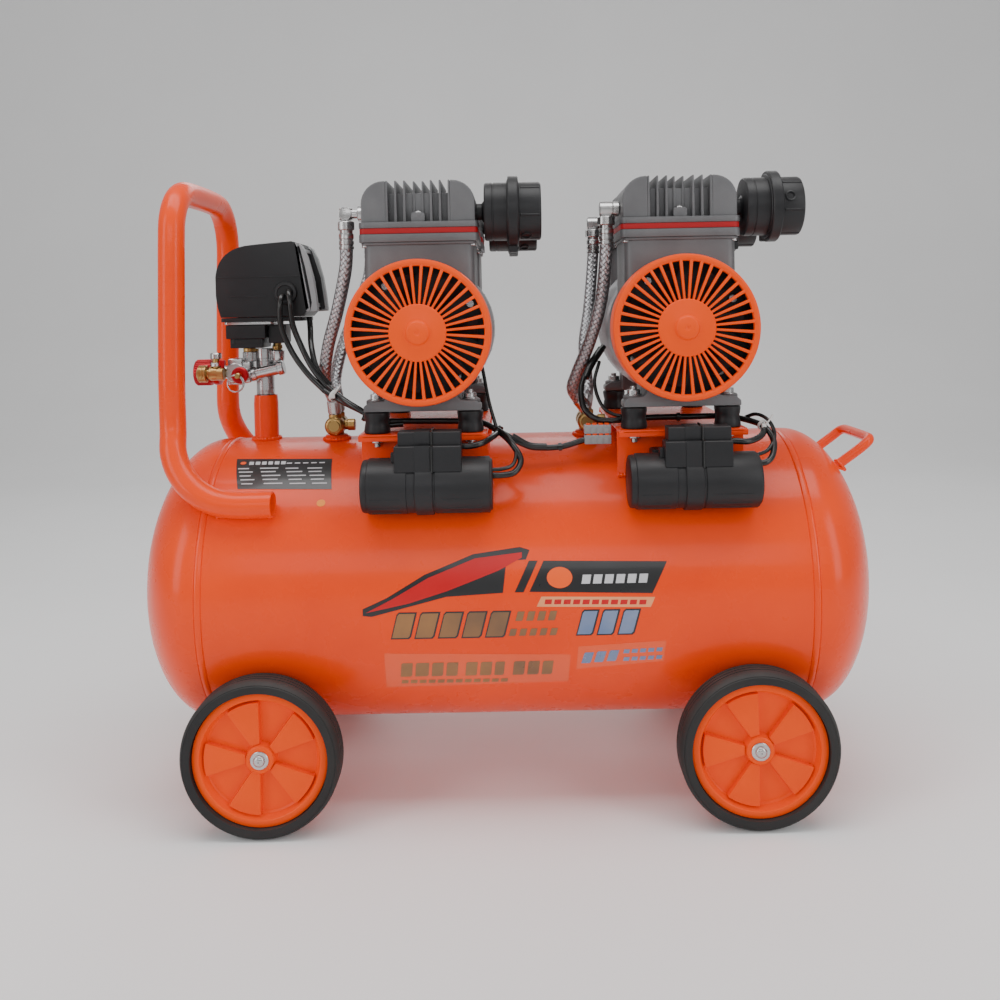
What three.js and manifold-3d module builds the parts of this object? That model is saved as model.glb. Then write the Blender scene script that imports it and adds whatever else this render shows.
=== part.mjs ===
// Twin-pump oil-free air compressor on a horizontal 60 litre receiver with four wheels.
// Millimetres, +Z up, +X to the right along the receiver, -Y towards the front.
// The origin is on the ground, under the middle of the whole object's length.
// Lengthwise positions below are counted from the receiver's own middle.
import * as THREE from "three";
import { mergeVertices } from "three/addons/utils/BufferGeometryUtils.js";
import Module from "manifold-3d";

const wasm = await Module();
wasm.setup();

// ---------------------------------------------------------------- driving dimensions
const GAP = 0.3; // clearance between neighbouring pieces

const TANK = { radius: 158, axisZ: 227, cylinderHalf: 327, headDepth: 79, wall: 3, sides: 32 };
const WHEEL = { x: 252.5, y: 160, axleZ: 81.5, radius: 81.5, rimRadius: 69, halfWidth: 17 };
const AXLE_RADIUS = 6;

const PUMP_X = { left: -85.5, right: 188 };
const SHAFT_Z = 509;
const CYLINDER = { y: 77, bore: 31, halfX: 58, frontY: 121, backY: 30 };
const TUNNEL_RADIUS = 46; // crank chambers and stator bore
const DECK_Z = 612; // top of the cylinder flange
const HEAD = { bottomZ: 618, flangeTopZ: 624.5, topZ: 667.5, halfX: 59.7, shoulder: 24 };
const HEAD_FLANGE = { halfX: 62.5, frontY: 125, backY: 26 };
const FINS = { count: 8, pitch: 9.3, thickness: 2.2, topDepth: 12.5, faceDepth: 10 };
const STROKE_HALF = 9;

// The guards and fans at the front are larger than those at the rear.
const FAN = { frontRadius: 62, rearRadius: 47, hub: 14, frontY: 142, backY: 126, blades: 7 };
const GUARD = {
  frontRadius: 75.2, rearRadius: 60, rim: 7.7, hub: 29.5, frontY: 155, backY: 123, ribs: 16,
};
const FILTER = { y: 100, z: 635, startX: 69, endX: 129, radius: 30.8, bandRadius: 37.5 };

const PLATE = { halfX: 67.6, halfY: 124, topZ: 402, thickness: 3, skirtY: 97 };
const FOOT = { x: 49.7, y: 105, radius: 14, topZ: 425 };
const CAPACITOR = { y: -142, z: 351.7, radius: 29, startX: -64.6, endX: 73 };

// The drain cock hangs under the receiver beside the left axle, with a winged knob below it.
const DRAIN = {
  x: -302, boreRadius: 4, bodyRadius: 8, bodyZ: 46, stemRadius: 4, stemZ: 40, knobRadius: 7, wing: 14,
};

const HANDLE = { x: -353.5, lean: 4, legY: 104, topZ: 679, tube: 13.8, topBend: 50 };
const RAIL = { y: 135.6, z: 333.2, endX: -241.5, bend: 75 };
const GRAB = { halfY: 50, rod: 5.5, topX: 411, topZ: 378, footX: 371, footZ: 349 };

const RISER = { x: -279.5, socketTopZ: 436.5 };
const VALVE_X = { left: -195.5, right: 94 };
const MANIFOLD_Z = 464;
const SWITCH_BASE_Z = 519.3;
const HOOD = { leftX: -325, bottomZ: 527.5, halfY: 35, wall: 2.5 };
const CABLE_RADIUS = 3.3;

// ---------------------------------------------------------------- finishes
const finish = (color, roughness, metalness) =>
  new THREE.MeshStandardMaterial({ color, roughness, metalness });
const ORANGE_PAINT = finish(0xf4530a, 0.35, 0.0);
const ORANGE_PLASTIC = finish(0xfb5d0c, 0.45, 0.0);
const CASTING = finish(0x55565a, 0.55, 0.6);
const BLACK_PLASTIC = finish(0x1c1c1e, 0.5, 0.0);
const RUBBER = finish(0x141414, 0.8, 0.0);
const BRASS = finish(0xb98d4c, 0.35, 1.0);
const STEEL = finish(0xb9bcc0, 0.35, 1.0);
const RED_PLASTIC = finish(0xc4161c, 0.4, 0.0);

// ---------------------------------------------------------------- solids
// A closed three.js geometry as a manifold solid, turned to face outwards.
function solid(geometry) {
  const plain = geometry.index ? geometry.toNonIndexed() : geometry.clone();
  plain.deleteAttribute("normal");
  plain.deleteAttribute("uv");
  const merged = mergeVertices(plain, 1e-3);
  const index = merged.index.array;
  const triangles = [];
  for (let i = 0; i < index.length; i += 3) {
    const [a, b, c] = [index[i], index[i + 1], index[i + 2]];
    if (a !== b && b !== c && c !== a) triangles.push(a, b, c);
  }
  const build = (list) =>
    new wasm.Manifold(
      new wasm.Mesh({
        numProp: 3,
        vertProperties: new Float32Array(merged.attributes.position.array),
        triVerts: new Uint32Array(list),
      }),
    );
  const made = build(triangles);
  return made.volume() < 0 ? build(triangles.reverse()) : made;
}

const join = (...solids) => solids.reduce((sum, next) => sum.add(next));

function geometryOf(made) {
  const mesh = made.getMesh();
  return new THREE.BufferGeometry()
    .setAttribute("position", new THREE.BufferAttribute(mesh.vertProperties, 3))
    .setIndex(new THREE.BufferAttribute(mesh.triVerts, 1));
}

function box(x0, x1, y0, y1, z0, z1) {
  const geometry = new THREE.BoxGeometry(x1 - x0, y1 - y0, z1 - z0);
  return solid(geometry.translate((x0 + x1) / 2, (y0 + y1) / 2, (z0 + z1) / 2));
}

// A round bar between two points; six sides make a hexagon.
function bar(from, to, radius, sides = 16, endRadius = radius) {
  const start = new THREE.Vector3(...from);
  const along = new THREE.Vector3(...to).sub(start);
  const geometry = new THREE.CylinderGeometry(endRadius, radius, along.length(), sides);
  const turn = new THREE.Quaternion().setFromUnitVectors(
    new THREE.Vector3(0, 1, 0),
    along.clone().normalize(),
  );
  geometry.applyQuaternion(turn);
  return solid(geometry.translate(...start.addScaledVector(along, 0.5).toArray()));
}

// A profile of [radius, height] points turned about the Y axis.
function lathe(profile, sides) {
  const points = profile.map(([radius, height]) => new THREE.Vector2(radius, height));
  return new THREE.LatheGeometry(points, sides);
}
const latheY = (profile, sides) => solid(lathe(profile, sides));
const latheX = (profile, sides) => solid(lathe(profile, sides).rotateZ(-Math.PI / 2));

// A bar bent along a smooth curve through the points.
function tube(points, radius, sides, steps) {
  const curve = new THREE.CatmullRomCurve3(
    points.map((point) => new THREE.Vector3(...point)),
    false,
    "centripetal",
  );
  const section = new THREE.Shape();
  for (let i = 0; i < sides; i++) {
    const angle = (i / sides) * 2 * Math.PI;
    const corner = [radius * Math.cos(angle), radius * Math.sin(angle)];
    if (i) section.lineTo(...corner);
    else section.moveTo(...corner);
  }
  const options = { steps, extrudePath: curve, bevelEnabled: false };
  return solid(new THREE.ExtrudeGeometry(section, options));
}

// An outline in the XZ plane pushed along Y from y0 to y1.
function prismY(outline, y0, y1) {
  const geometry = new THREE.ExtrudeGeometry(outline, {
    depth: y1 - y0,
    bevelEnabled: false,
    curveSegments: 5,
  });
  geometry.rotateX(Math.PI / 2);
  return solid(geometry.translate(0, y1, 0));
}

// Points of a quarter or half circle, from one angle to another.
function arc(centre, u, v, radius, fromAngle, toAngle, count) {
  const points = [];
  for (let i = 0; i <= count; i++) {
    const angle = fromAngle + ((toAngle - fromAngle) * i) / count;
    points.push(
      centre.map((c, k) => c + radius * (u[k] * Math.cos(angle) + v[k] * Math.sin(angle))),
    );
  }
  return points;
}

// The grab handle reaches past the receiver on the right, so the receiver's middle lies a
// little to the left of the middle of the whole object.
const RECEIVER_OFFSET = -5.5;
const root = new THREE.Group();
const machine = new THREE.Group();
machine.position.x = RECEIVER_OFFSET;
root.add(machine);

function part(name, material, made, parent = machine) {
  const mesh = new THREE.Mesh(geometryOf(made), material);
  mesh.name = name;
  parent.add(mesh);
  return mesh;
}

// ---------------------------------------------------------------- receiver
const OUTER_TANK = { radius: TANK.radius, steps: 5 };
const INNER_TANK = { radius: TANK.radius - TANK.wall, steps: 2 };

// Barrel and two 2:1 elliptical heads, as one profile from tip to tip.
function tankBody({ radius, steps }) {
  const depth = TANK.headDepth - (TANK.radius - radius);
  const half = [];
  for (let i = 0; i <= steps; i++) {
    const angle = (i / steps) * (Math.PI / 2);
    half.push([radius * Math.sin(angle), TANK.cylinderHalf + depth * Math.cos(angle)]);
  }
  half[0][0] = 0;
  const leftHalf = half.map(([r, x]) => [r, -x]);
  return latheX([...leftHalf, ...half.reverse()], TANK.sides).translate([0, 0, TANK.axisZ]);
}

const TANK_TOP = TANK.axisZ + TANK.radius;
const TANK_BOTTOM = TANK.axisZ - TANK.radius;
const clearOfTank = solid(
  new THREE.CylinderGeometry(TANK.radius + GAP + 0.3, TANK.radius + GAP + 0.3, 1200, TANK.sides)
    .rotateZ(Math.PI / 2),
).translate([0, 0, TANK.axisZ]);

const RISER_SOCKET = 14;
const RISER_BORE = 7;
const BUNG_RADIUS = 13;
const BUNG_TOP = TANK_TOP + 5;
function makeTank() {
  const inside = tankBody(INNER_TANK);
  const down = TANK_TOP - 20;
  const socket = bar([RISER.x, 0, down], [RISER.x, 0, RISER.socketTopZ], RISER_SOCKET, 16);
  const bungs = [VALVE_X.left, VALVE_X.right].map((x) =>
    bar([x, -10, down], [x, -10, BUNG_TOP], BUNG_RADIUS, 12),
  );
  const bore = bar([RISER.x, 0, down - 20], [RISER.x, 0, RISER.socketTopZ + 1], RISER_BORE, 8);
  const drain = bar([DRAIN.x, 0, TANK_BOTTOM - 5], [DRAIN.x, 0, TANK_BOTTOM + 20], DRAIN.boreRadius, 8);
  const outside = join(tankBody(OUTER_TANK), socket, ...bungs);
  return outside.subtract(inside).subtract(bore).subtract(drain);
}
part("tank_shell", ORANGE_PAINT, makeTank());

part(
  "drain_cock",
  BRASS,
  join(
    bar([DRAIN.x, 0, DRAIN.bodyZ], [DRAIN.x, 0, TANK_BOTTOM - 0.4], DRAIN.bodyRadius, 6),
    bar([DRAIN.x, 0, DRAIN.stemZ], [DRAIN.x, 0, DRAIN.bodyZ + 0.5], DRAIN.stemRadius, 8),
  ),
);
part(
  "drain_knob",
  BRASS,
  join(
    bar([DRAIN.x, 0, 32], [DRAIN.x, 0, DRAIN.stemZ - 0.5], DRAIN.knobRadius, 8),
    box(DRAIN.x - DRAIN.wing, DRAIN.x + DRAIN.wing, -2, 2, 30, 37),
  ),
);

// ---------------------------------------------------------------- handles
function handlePath(side) {
  const cornerX = HANDLE.x + RAIL.bend;
  const bendStart = RAIL.z + RAIL.bend;
  const rail = [
    [RAIL.endX, side * RAIL.y, RAIL.z],
    [cornerX + 14, side * RAIL.y, RAIL.z],
  ];
  const bend = arc([cornerX, 0, bendStart], [0, 0, -1], [-1, 0, 0], RAIL.bend, 0, Math.PI / 2, 5);
  const spread = RAIL.y - HANDLE.legY;
  bend.forEach((point, i) => {
    point[1] = side * (RAIL.y - (spread * i * i) / 25);
  });
  const leg = [
    [HANDLE.x, side * HANDLE.legY, bendStart + 50],
    [HANDLE.x + 0.6 * HANDLE.lean, side * HANDLE.legY, 560],
  ];
  const centreZ = HANDLE.topZ - HANDLE.tube - HANDLE.topBend;
  const shoulder = arc(
    [HANDLE.x + HANDLE.lean, side * (HANDLE.legY - HANDLE.topBend), centreZ],
    [0, side, 0],
    [0, 0, 1],
    HANDLE.topBend,
    0,
    Math.PI / 2,
    4,
  );
  return [...rail, ...bend, ...leg, ...shoulder];
}
const handlePoints = [...handlePath(-1), ...handlePath(1).reverse()];
part("carry_handle", ORANGE_PAINT, tube(handlePoints, HANDLE.tube, 8, 44));

function makeGrabHandle() {
  const points = [
    [GRAB.footX, -GRAB.halfY, GRAB.footZ],
    [GRAB.topX - 12, -GRAB.halfY, GRAB.topZ - 9],
    [GRAB.topX - 2, -GRAB.halfY + 3, GRAB.topZ - 1],
    [GRAB.topX, -GRAB.halfY + 12, GRAB.topZ],
  ];
  const back = points.map(([x, y, z]) => [x, -y, z]).reverse();
  const clear = tankBody({ radius: TANK.radius + 0.6, steps: 5 });
  return tube([...points, ...back], GRAB.rod, 6, 16).subtract(clear);
}
part("grab_handle", ORANGE_PAINT, makeGrabHandle());

// ---------------------------------------------------------------- running gear
const AXLE_BRACKET = { halfX: 32, halfY: 120, topZ: 158, bottomZ: 66, sheet: 3 };
function makeAxleBracket(x) {
  const { halfX, halfY, topZ, bottomZ, sheet } = AXLE_BRACKET;
  const outside = box(x - halfX, x + halfX, -halfY, halfY, bottomZ, topZ);
  const inside = box(
    x - halfX + sheet, x + halfX - sheet, -halfY + sheet, halfY - sheet, bottomZ - 10, topZ + 10,
  );
  const stubs = [-1, 1].map((side) =>
    bar(
      [x, side * (halfY - sheet), WHEEL.axleZ],
      [x, side * (WHEEL.y + 15), WHEEL.axleZ],
      AXLE_RADIUS,
      12,
    ),
  );
  return join(outside.subtract(inside).subtract(clearOfTank), ...stubs);
}
part("left_axle_bracket", ORANGE_PAINT, makeAxleBracket(-WHEEL.x));
part("right_axle_bracket", ORANGE_PAINT, makeAxleBracket(WHEEL.x));

const WHEEL_SIDES = 20;

// Wheels are drawn about their own centre, with the outer face towards -Y.
const RIM = { bore: AXLE_RADIUS + 0.4, hub: 14, webFront: -6, webBack: 0, lipFront: -12, back: 14 };
function makeRim() {
  const profile = [
    [0, RIM.lipFront],
    [RIM.hub, RIM.lipFront],
    [RIM.hub, RIM.webFront],
    [58, RIM.webFront],
    [62, RIM.lipFront],
    [WHEEL.rimRadius, RIM.lipFront],
    [WHEEL.rimRadius, RIM.back],
    [62, RIM.back],
    [60, RIM.webBack],
    [RIM.hub, RIM.webBack],
    [RIM.hub, RIM.back],
    [0, RIM.back],
  ];
  const wedges = [];
  for (let i = 0; i < 5; i++) {
    const angle = (0.3 + i / 5) * 2 * Math.PI;
    const halfAngle = (17 * Math.PI) / 180;
    const wedge = new THREE.Shape();
    const corner = (radius, turn) => [
      radius * Math.cos(angle + turn),
      radius * Math.sin(angle + turn),
    ];
    wedge.moveTo(...corner(12, -halfAngle));
    wedge.lineTo(...corner(58, -halfAngle));
    wedge.lineTo(...corner(59, 0));
    wedge.lineTo(...corner(58, halfAngle));
    wedge.lineTo(...corner(12, halfAngle));
    wedges.push(prismY(wedge, -9, -3));
  }
  const bore = bar([0, -20, 0], [0, 20, 0], RIM.bore, 10);
  return join(latheY(profile, WHEEL_SIDES), ...wedges).subtract(bore);
}

// The tyre stands on one flat of its many sides.
function makeTyre() {
  const inner = (WHEEL.rimRadius + GAP) / Math.cos(Math.PI / WHEEL_SIDES);
  const { radius, halfWidth } = WHEEL;
  const profile = [
    [inner, -halfWidth],
    [radius - 5, -halfWidth],
    [radius, -halfWidth + 8],
    [radius, halfWidth - 8],
    [radius - 5, halfWidth],
    [inner, halfWidth],
    [inner, -halfWidth],
  ];
  const flat = Math.cos(Math.PI / WHEEL_SIDES);
  const outlined = profile.map(([r, y]) => [r < radius ? r : radius / flat, y]);
  return latheY(outlined, WHEEL_SIDES).rotate([0, 180 / WHEEL_SIDES, 0]);
}

for (const [end, x] of [["left", -WHEEL.x], ["right", WHEEL.x]]) {
  for (const [side, y] of [["front", -WHEEL.y], ["rear", WHEEL.y]]) {
    const wheel = new THREE.Group();
    wheel.position.set(x, y, WHEEL.axleZ);
    if (y > 0) wheel.rotation.z = Math.PI;
    part(`${side}_${end}_rim`, ORANGE_PLASTIC, makeRim(), wheel);
    part(`${side}_${end}_tyre`, RUBBER, makeTyre(), wheel);
    machine.add(wheel);
  }
}

// ---------------------------------------------------------------- pumps
// Each pump is drawn about its own middle in X, with its shaft along Y.
// `side` is -1 for the front cylinder and 1 for the rear one.
const flip = (side, y0, y1) => (side < 0 ? [-y1, -y0] : [y0, y1]);
const boxAt = (side, x0, x1, y0, y1, z0, z1) => box(x0, x1, ...flip(side, y0, y1), z0, z1);
const barY = (y0, y1, radius, sides, z = SHAFT_Z) => bar([0, y0, z], [0, y1, z], radius, sides);
function flangeBox(side, z0, z1) {
  const { halfX, backY, frontY } = HEAD_FLANGE;
  return boxAt(side, -halfX, halfX, backY, frontY, z0, z1);
}

const CRANKCASE = { radius: 58, endY: 108, motorRadius: 76, motorHalf: 38 };
function makeCasing() {
  let made = barY(-CRANKCASE.endY, CRANKCASE.endY, CRANKCASE.radius, 20);
  made = made.add(barY(-CRANKCASE.motorHalf, CRANKCASE.motorHalf, CRANKCASE.motorRadius, 24));
  const { halfX, frontY, backY } = CYLINDER;
  for (const side of [-1, 1]) {
    made = join(
      made,
      boxAt(side, -halfX, halfX, backY, frontY, SHAFT_Z, DECK_Z - 8),
      flangeBox(side, DECK_Z - 11, DECK_Z),
      boxAt(side, -42, 42, 70, 112, 428, SHAFT_Z),
      boxAt(side, -62, 62, 92, 119, FOOT.topZ + GAP, FOOT.topZ + 10),
    );
  }
  made = made.subtract(barY(-100, 100, TUNNEL_RADIUS, 20));
  made = made.subtract(barY(-130, 130, SHAFT.radius + 1, 8));
  for (const side of [-1, 1]) {
    const y = side * CYLINDER.y;
    made = made.subtract(bar([0, y, SHAFT_Z], [0, y, DECK_Z + 1], CYLINDER.bore, 16));
  }
  return made;
}

const SHAFT = { radius: 8, endY: 145 };
const ECCENTRIC = { radius: 14, halfWidth: 5 };
const ROTOR = { radius: 44, halfLength: 36 };
function makeRotor() {
  const shaft = barY(-SHAFT.endY, SHAFT.endY, SHAFT.radius, 10);
  const core = barY(-ROTOR.halfLength, ROTOR.halfLength, ROTOR.radius, 16);
  const eccentrics = [-1, 1].map((side) => {
    const y = side * CYLINDER.y;
    const z = SHAFT_Z - side * STROKE_HALF;
    return barY(y - ECCENTRIC.halfWidth, y + ECCENTRIC.halfWidth, ECCENTRIC.radius, 10, z);
  });
  return join(shaft, core, ...eccentrics);
}

const PISTON = { radius: 30.4, topZ: 600, height: 12, eyeInner: 32.5, eyeOuter: 36 };
function makePiston(side) {
  const y = side * CYLINDER.y;
  const disc = bar([0, y, PISTON.topZ - PISTON.height], [0, y, PISTON.topZ], PISTON.radius, 16);
  const eyeHole = barY(y - 9, y + 9, PISTON.eyeInner, 12);
  const eye = barY(y - 6, y + 6, PISTON.eyeOuter, 12).subtract(eyeHole);
  const rod = box(-6, 6, y - 5, y + 5, SHAFT_Z + 34, PISTON.topZ - 6);
  return join(disc, eye, rod);
}

function makeHead(side) {
  const { bottomZ, flangeTopZ, topZ, halfX, shoulder } = HEAD;
  const outline = new THREE.Shape();
  outline.moveTo(-halfX, flangeTopZ - 2);
  outline.lineTo(halfX, flangeTopZ - 2);
  outline.absarc(halfX - shoulder, topZ - shoulder, shoulder, 0, Math.PI / 2, false);
  outline.absarc(shoulder - halfX, topZ - shoulder, shoulder, Math.PI / 2, Math.PI, false);
  const [bodyY0, bodyY1] = flip(side, HEAD_FLANGE.backY + 2, HEAD_FLANGE.frontY - 3);
  let made = prismY(outline, bodyY0, bodyY1).add(flangeBox(side, bottomZ, flangeTopZ));
  for (let i = 0; i < FINS.count - 1; i++) {
    const centre = (i - (FINS.count - 2) / 2) * FINS.pitch;
    const half = (FINS.pitch - FINS.thickness) / 2;
    made = made.subtract(
      box(centre - half, centre + half, -140, 140, topZ - FINS.topDepth, topZ + 1),
    );
    const faceY = HEAD_FLANGE.frontY - 3 - FINS.faceDepth;
    made = made.subtract(
      boxAt(
        side, centre - half, centre + half, faceY, 140, flangeTopZ + 0.5, topZ - FINS.topDepth + 1,
      ),
    );
  }
  const chamber = boxAt(side, -40, 40, 42, 108, bottomZ - 1, bottomZ + 22);
  return made.subtract(chamber);
}

function makeFan(side) {
  const [y0, y1] = flip(side, FAN.backY, FAN.frontY);
  const radius = side < 0 ? FAN.frontRadius : FAN.rearRadius;
  let made = barY(y0, y1, FAN.hub, 10);
  for (let i = 0; i < FAN.blades; i++) {
    const blade = new THREE.BoxGeometry(radius - 8, y1 - y0, 2.4);
    blade.translate(radius / 2 + 4, 0, 0).rotateY((i * 2 * Math.PI) / FAN.blades);
    made = made.add(solid(blade.translate(0, (y0 + y1) / 2, SHAFT_Z)));
  }
  return made.subtract(barY(y0 - 5, y1 + 5, SHAFT.radius + 0.6, 10));
}

function makeGuard(side) {
  const { rim, frontY, backY, hub, ribs } = GUARD;
  const radius = side < 0 ? GUARD.frontRadius : GUARD.rearRadius;
  const opening = radius - rim;
  const profile = [
    [opening, frontY - 4],
    [opening, frontY],
    [radius, frontY],
    [radius, backY],
    [radius - 3, backY],
    [radius - 3, frontY - 4],
    [opening, frontY - 4],
  ];
  const facing = profile.map(([r, y]) => [r, side * y]);
  let made = latheY(facing, 24).translate([0, 0, SHAFT_Z]);
  made = made.add(barY(...flip(side, frontY - 4, frontY + 1), hub, 16));
  made = made.add(barY(...flip(side, frontY - 2, frontY + 5), 12, 10));
  for (let i = 0; i < ribs; i++) {
    const rib = new THREE.BoxGeometry(opening - hub + 6, 3, 3.2);
    rib.translate((opening + hub) / 2, 0, 0).rotateY(((i + 0.5) * 2 * Math.PI) / ribs);
    made = made.add(solid(rib.translate(0, side * (frontY - 2), SHAFT_Z)));
  }
  return made;
}

function makeFilter(side) {
  const { startX, endX, radius, bandRadius, y, z } = FILTER;
  const bandX = startX + 24;
  const profile = [
    [0, 60.2],
    [9, 60.2],
    [9, startX],
    [radius, startX],
    [radius, bandX],
    [bandRadius, bandX],
    [bandRadius, bandX + 12],
    [radius, bandX + 12],
    [radius, endX],
    [0, endX],
  ];
  return latheX(profile, 16).translate([0, side * y, z]);
}

const ELBOW = { x: { left: -80.5, right: -74.5 }, y: 90, z: 636.6 };
const HOSE_RADIUS = 7.2;
function makeHose(which, side, route) {
  const { z } = ELBOW;
  const x = ELBOW.x[which];
  const y = side * ELBOW.y;
  const elbow = join(
    bar([-60.1, y, z], [x + 3, y, z], 5, 8),
    box(x - 7, x + 7, y - 7, y + 7, z - 7, z + 7),
    bar([x, y, z - 28], [x, y, z - 6], 9.5, 6),
    bar([x, y, z - 38], [x, y, z - 20], 8, 8),
  );
  return join(elbow, tube([[x, y, z - 34], ...route], HOSE_RADIUS, 6, 11));
}

function makeBracket(pumpX) {
  const { halfX, halfY, topZ, thickness, skirtY } = PLATE;
  const plate = box(-halfX, halfX, -halfY, halfY, topZ - thickness, topZ);
  const skirts = [-1, 1].map((side) => boxAt(side, -halfX, halfX, skirtY, skirtY + 3, 300, topZ - 1));
  const feet = [];
  for (const x of [-FOOT.x, FOOT.x]) {
    for (const y of [-FOOT.y, FOOT.y]) {
      feet.push(bar([x, y, topZ - 1], [x, y, FOOT.topZ], FOOT.radius, 10));
    }
  }
  return join(plate, ...skirts, ...feet).subtract(clearOfTank.translate([-pumpX, 0, 0]));
}

// The run capacitor in its moulded clip, with the relay box strapped on top of it.
const RELAY = { x0: -22, x1: 41, y: -139, z: 386.5, depth: 24, height: 27, tilt: -20 };
function makeCapacitor() {
  const { y, z, radius, startX, endX } = CAPACITOR;
  const body = bar([startX, y, z], [endX, y, z], radius, 18);
  const strap = bar([-5, y, z], [13, y, z], radius + 1.4, 18);
  const { x0, x1, depth, height, tilt } = RELAY;
  const relay = box(x0, x1, -depth / 2, depth / 2, -height / 2, height / 2)
    .rotate([tilt, 0, 0])
    .translate([0, RELAY.y, RELAY.z]);
  return join(body, strap, relay);
}

const HOSE_ROUTES = {
  left: {
    front: [
      [-82.5, -86, 580],
      [-95, -70, 535],
      [-111, -50, 490],
      [-117, -36, 455],
      [-111, -22, 431],
      [-110, -20, 414.8],
    ],
    rear: [
      [-83, 84, 575],
      [-98, 66, 530],
      [-112, 44, 485],
      [-117, 26, 450],
      [-111, 4, 431],
      [-110, 2, 414.8],
    ],
  },
  right: {
    front: [
      [-75.5, -86, 580],
      [-80, -68, 535],
      [-91.5, -49, 492],
      [-105, -35, 457],
      [-110, -28, 439],
      [-103, -22, 426],
      [-94, -20, 414.8],
    ],
    rear: [
      [-77, 84, 575],
      [-83, 66, 530],
      [-91, 44, 485],
      [-90, 26, 452],
      [-91, 5, 431],
      [-94, 2, 414.8],
    ],
  },
};

for (const which of ["left", "right"]) {
  const pump = new THREE.Group();
  pump.position.x = PUMP_X[which];
  part(`${which}_bracket`, ORANGE_PAINT, makeBracket(PUMP_X[which]), pump);
  part(`${which}_casing`, CASTING, makeCasing(), pump);
  part(`${which}_rotor_shaft`, STEEL, makeRotor(), pump);
  part(`${which}_capacitor`, BLACK_PLASTIC, makeCapacitor(), pump);
  for (const [end, side] of [["front", -1], ["rear", 1]]) {
    part(`${which}_${end}_fan`, BLACK_PLASTIC, makeFan(side), pump);
    part(`${which}_${end}_guard`, ORANGE_PLASTIC, makeGuard(side), pump);
    part(`${which}_${end}_piston`, STEEL, makePiston(side), pump);
    part(`${which}_${end}_head`, CASTING, makeHead(side), pump);
    part(`${which}_${end}_filter`, BLACK_PLASTIC, makeFilter(side), pump);
    part(`${which}_${end}_hose`, STEEL, makeHose(which, side, HOSE_ROUTES[which][end]), pump);
  }
  machine.add(pump);
}

// ---------------------------------------------------------------- check valves
const CHECK_VALVE = { z: 401, radius: 11, frontY: -31, backY: 9 };
for (const which of ["left", "right"]) {
  const x = VALVE_X[which];
  const { z, radius, frontY, backY } = CHECK_VALVE;
  const body = bar([x, frontY, z], [x, backY, z], radius, 12);
  const stem = bar([x, -10, BUNG_TOP + GAP], [x, -10, z], 8, 6);
  const port = bar([x, -12, z], [x + 22, -12, z], 6.5, 8);
  part(`${which}_check_valve`, BRASS, join(body, stem, port));
}

// ---------------------------------------------------------------- riser and outlet
const BLOCK = { x0: -318.5, x1: -291, y0: -24, y1: 9, z0: 449, z1: 481 };
const NIPPLES = [
  { x: -296.5, radius: 5.5, topZ: 491.6 },
  { x: -264, radius: 5, topZ: 496.6 },
];
function makeManifold() {
  const pipe = bar([RISER.x, 0, RISER.socketTopZ + GAP], [RISER.x, 0, 491.6], 10.3, 14);
  const block = box(BLOCK.x0, BLOCK.x1, BLOCK.y0, BLOCK.y1, BLOCK.z0, BLOCK.z1);
  const crossArm = bar([-297, -12, MANIFOLD_Z - 4], [-255, -12, MANIFOLD_Z + 5], 7, 10);
  const nipples = NIPPLES.map(({ x, radius, topZ }) => bar([x, -3, 462], [x, -3, topZ], radius, 8));
  const regulatorNeck = bar([-316, 0, MANIFOLD_Z], [-330.4, 0, MANIFOLD_Z], 8, 12);
  const safetyBody = bar([-299, -23, 462], [-299, -33.4, 462], 8.5, 6);
  return join(pipe, block, crossArm, ...nipples, regulatorNeck, safetyBody);
}
part("riser_manifold", STEEL, makeManifold());
part("diaphragm_housing", BLACK_PLASTIC, box(-317.5, -271.5, -27, 20, 492, SWITCH_BASE_Z - GAP));
part("unloader_valve", BLACK_PLASTIC, box(-271, -250, -18, 10, 497, SWITCH_BASE_Z - GAP));

const knobFrom = [-330.8, 0, MANIFOLD_Z];
part("regulator_knob", RED_PLASTIC, bar(knobFrom, [-360.5, 0, MANIFOLD_Z], 15.5, 16));

// The outlet cock beside the regulator ends in a quick coupler with a sliding sleeve.
const OUTLET = { y: -28.5, tipX: -350, stemX: -328.5 };
const SLEEVE = { fromX: -338.5, toX: -348, inner: 6.6, outer: 9.8 };
function makeOutletCock() {
  const { y, tipX, stemX } = OUTLET;
  return join(
    bar([-336, y, MANIFOLD_Z], [-319, y, MANIFOLD_Z], 8, 6),
    bar([tipX, y, MANIFOLD_Z], [-334, y, MANIFOLD_Z], 6, 10),
    bar([stemX, y, MANIFOLD_Z + 3], [stemX, y, MANIFOLD_Z + 18], 4, 8),
    bar([stemX, y, MANIFOLD_Z + 17], [stemX, y, MANIFOLD_Z + 24], 6.5, 10),
  );
}
part("outlet_cock", BRASS, makeOutletCock());
function sleeveAt(x0, x1, radius) {
  return bar([x0, OUTLET.y, MANIFOLD_Z], [x1, OUTLET.y, MANIFOLD_Z], radius, 12);
}
part(
  "coupler_sleeve",
  BRASS,
  sleeveAt(SLEEVE.toX, SLEEVE.fromX, SLEEVE.outer).subtract(
    sleeveAt(SLEEVE.toX - 3, SLEEVE.fromX + 3, SLEEVE.inner),
  ),
);

const RING_RADIUS = 9.5;
function makeSafetyPull() {
  const ring = new THREE.TorusGeometry(RING_RADIUS, 0.9, 5, 12);
  ring.rotateX(Math.PI / 2).translate(-302, -45, 462 - RING_RADIUS + 1);
  return join(
    bar([-299, -33.8, 462], [-299, -40, 462], 9.5, 14),
    bar([-299, -39, 462], [-299, -49, 462], 2.6, 8),
    solid(ring),
  );
}
part("safety_pull", RED_PLASTIC, makeSafetyPull());

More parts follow.
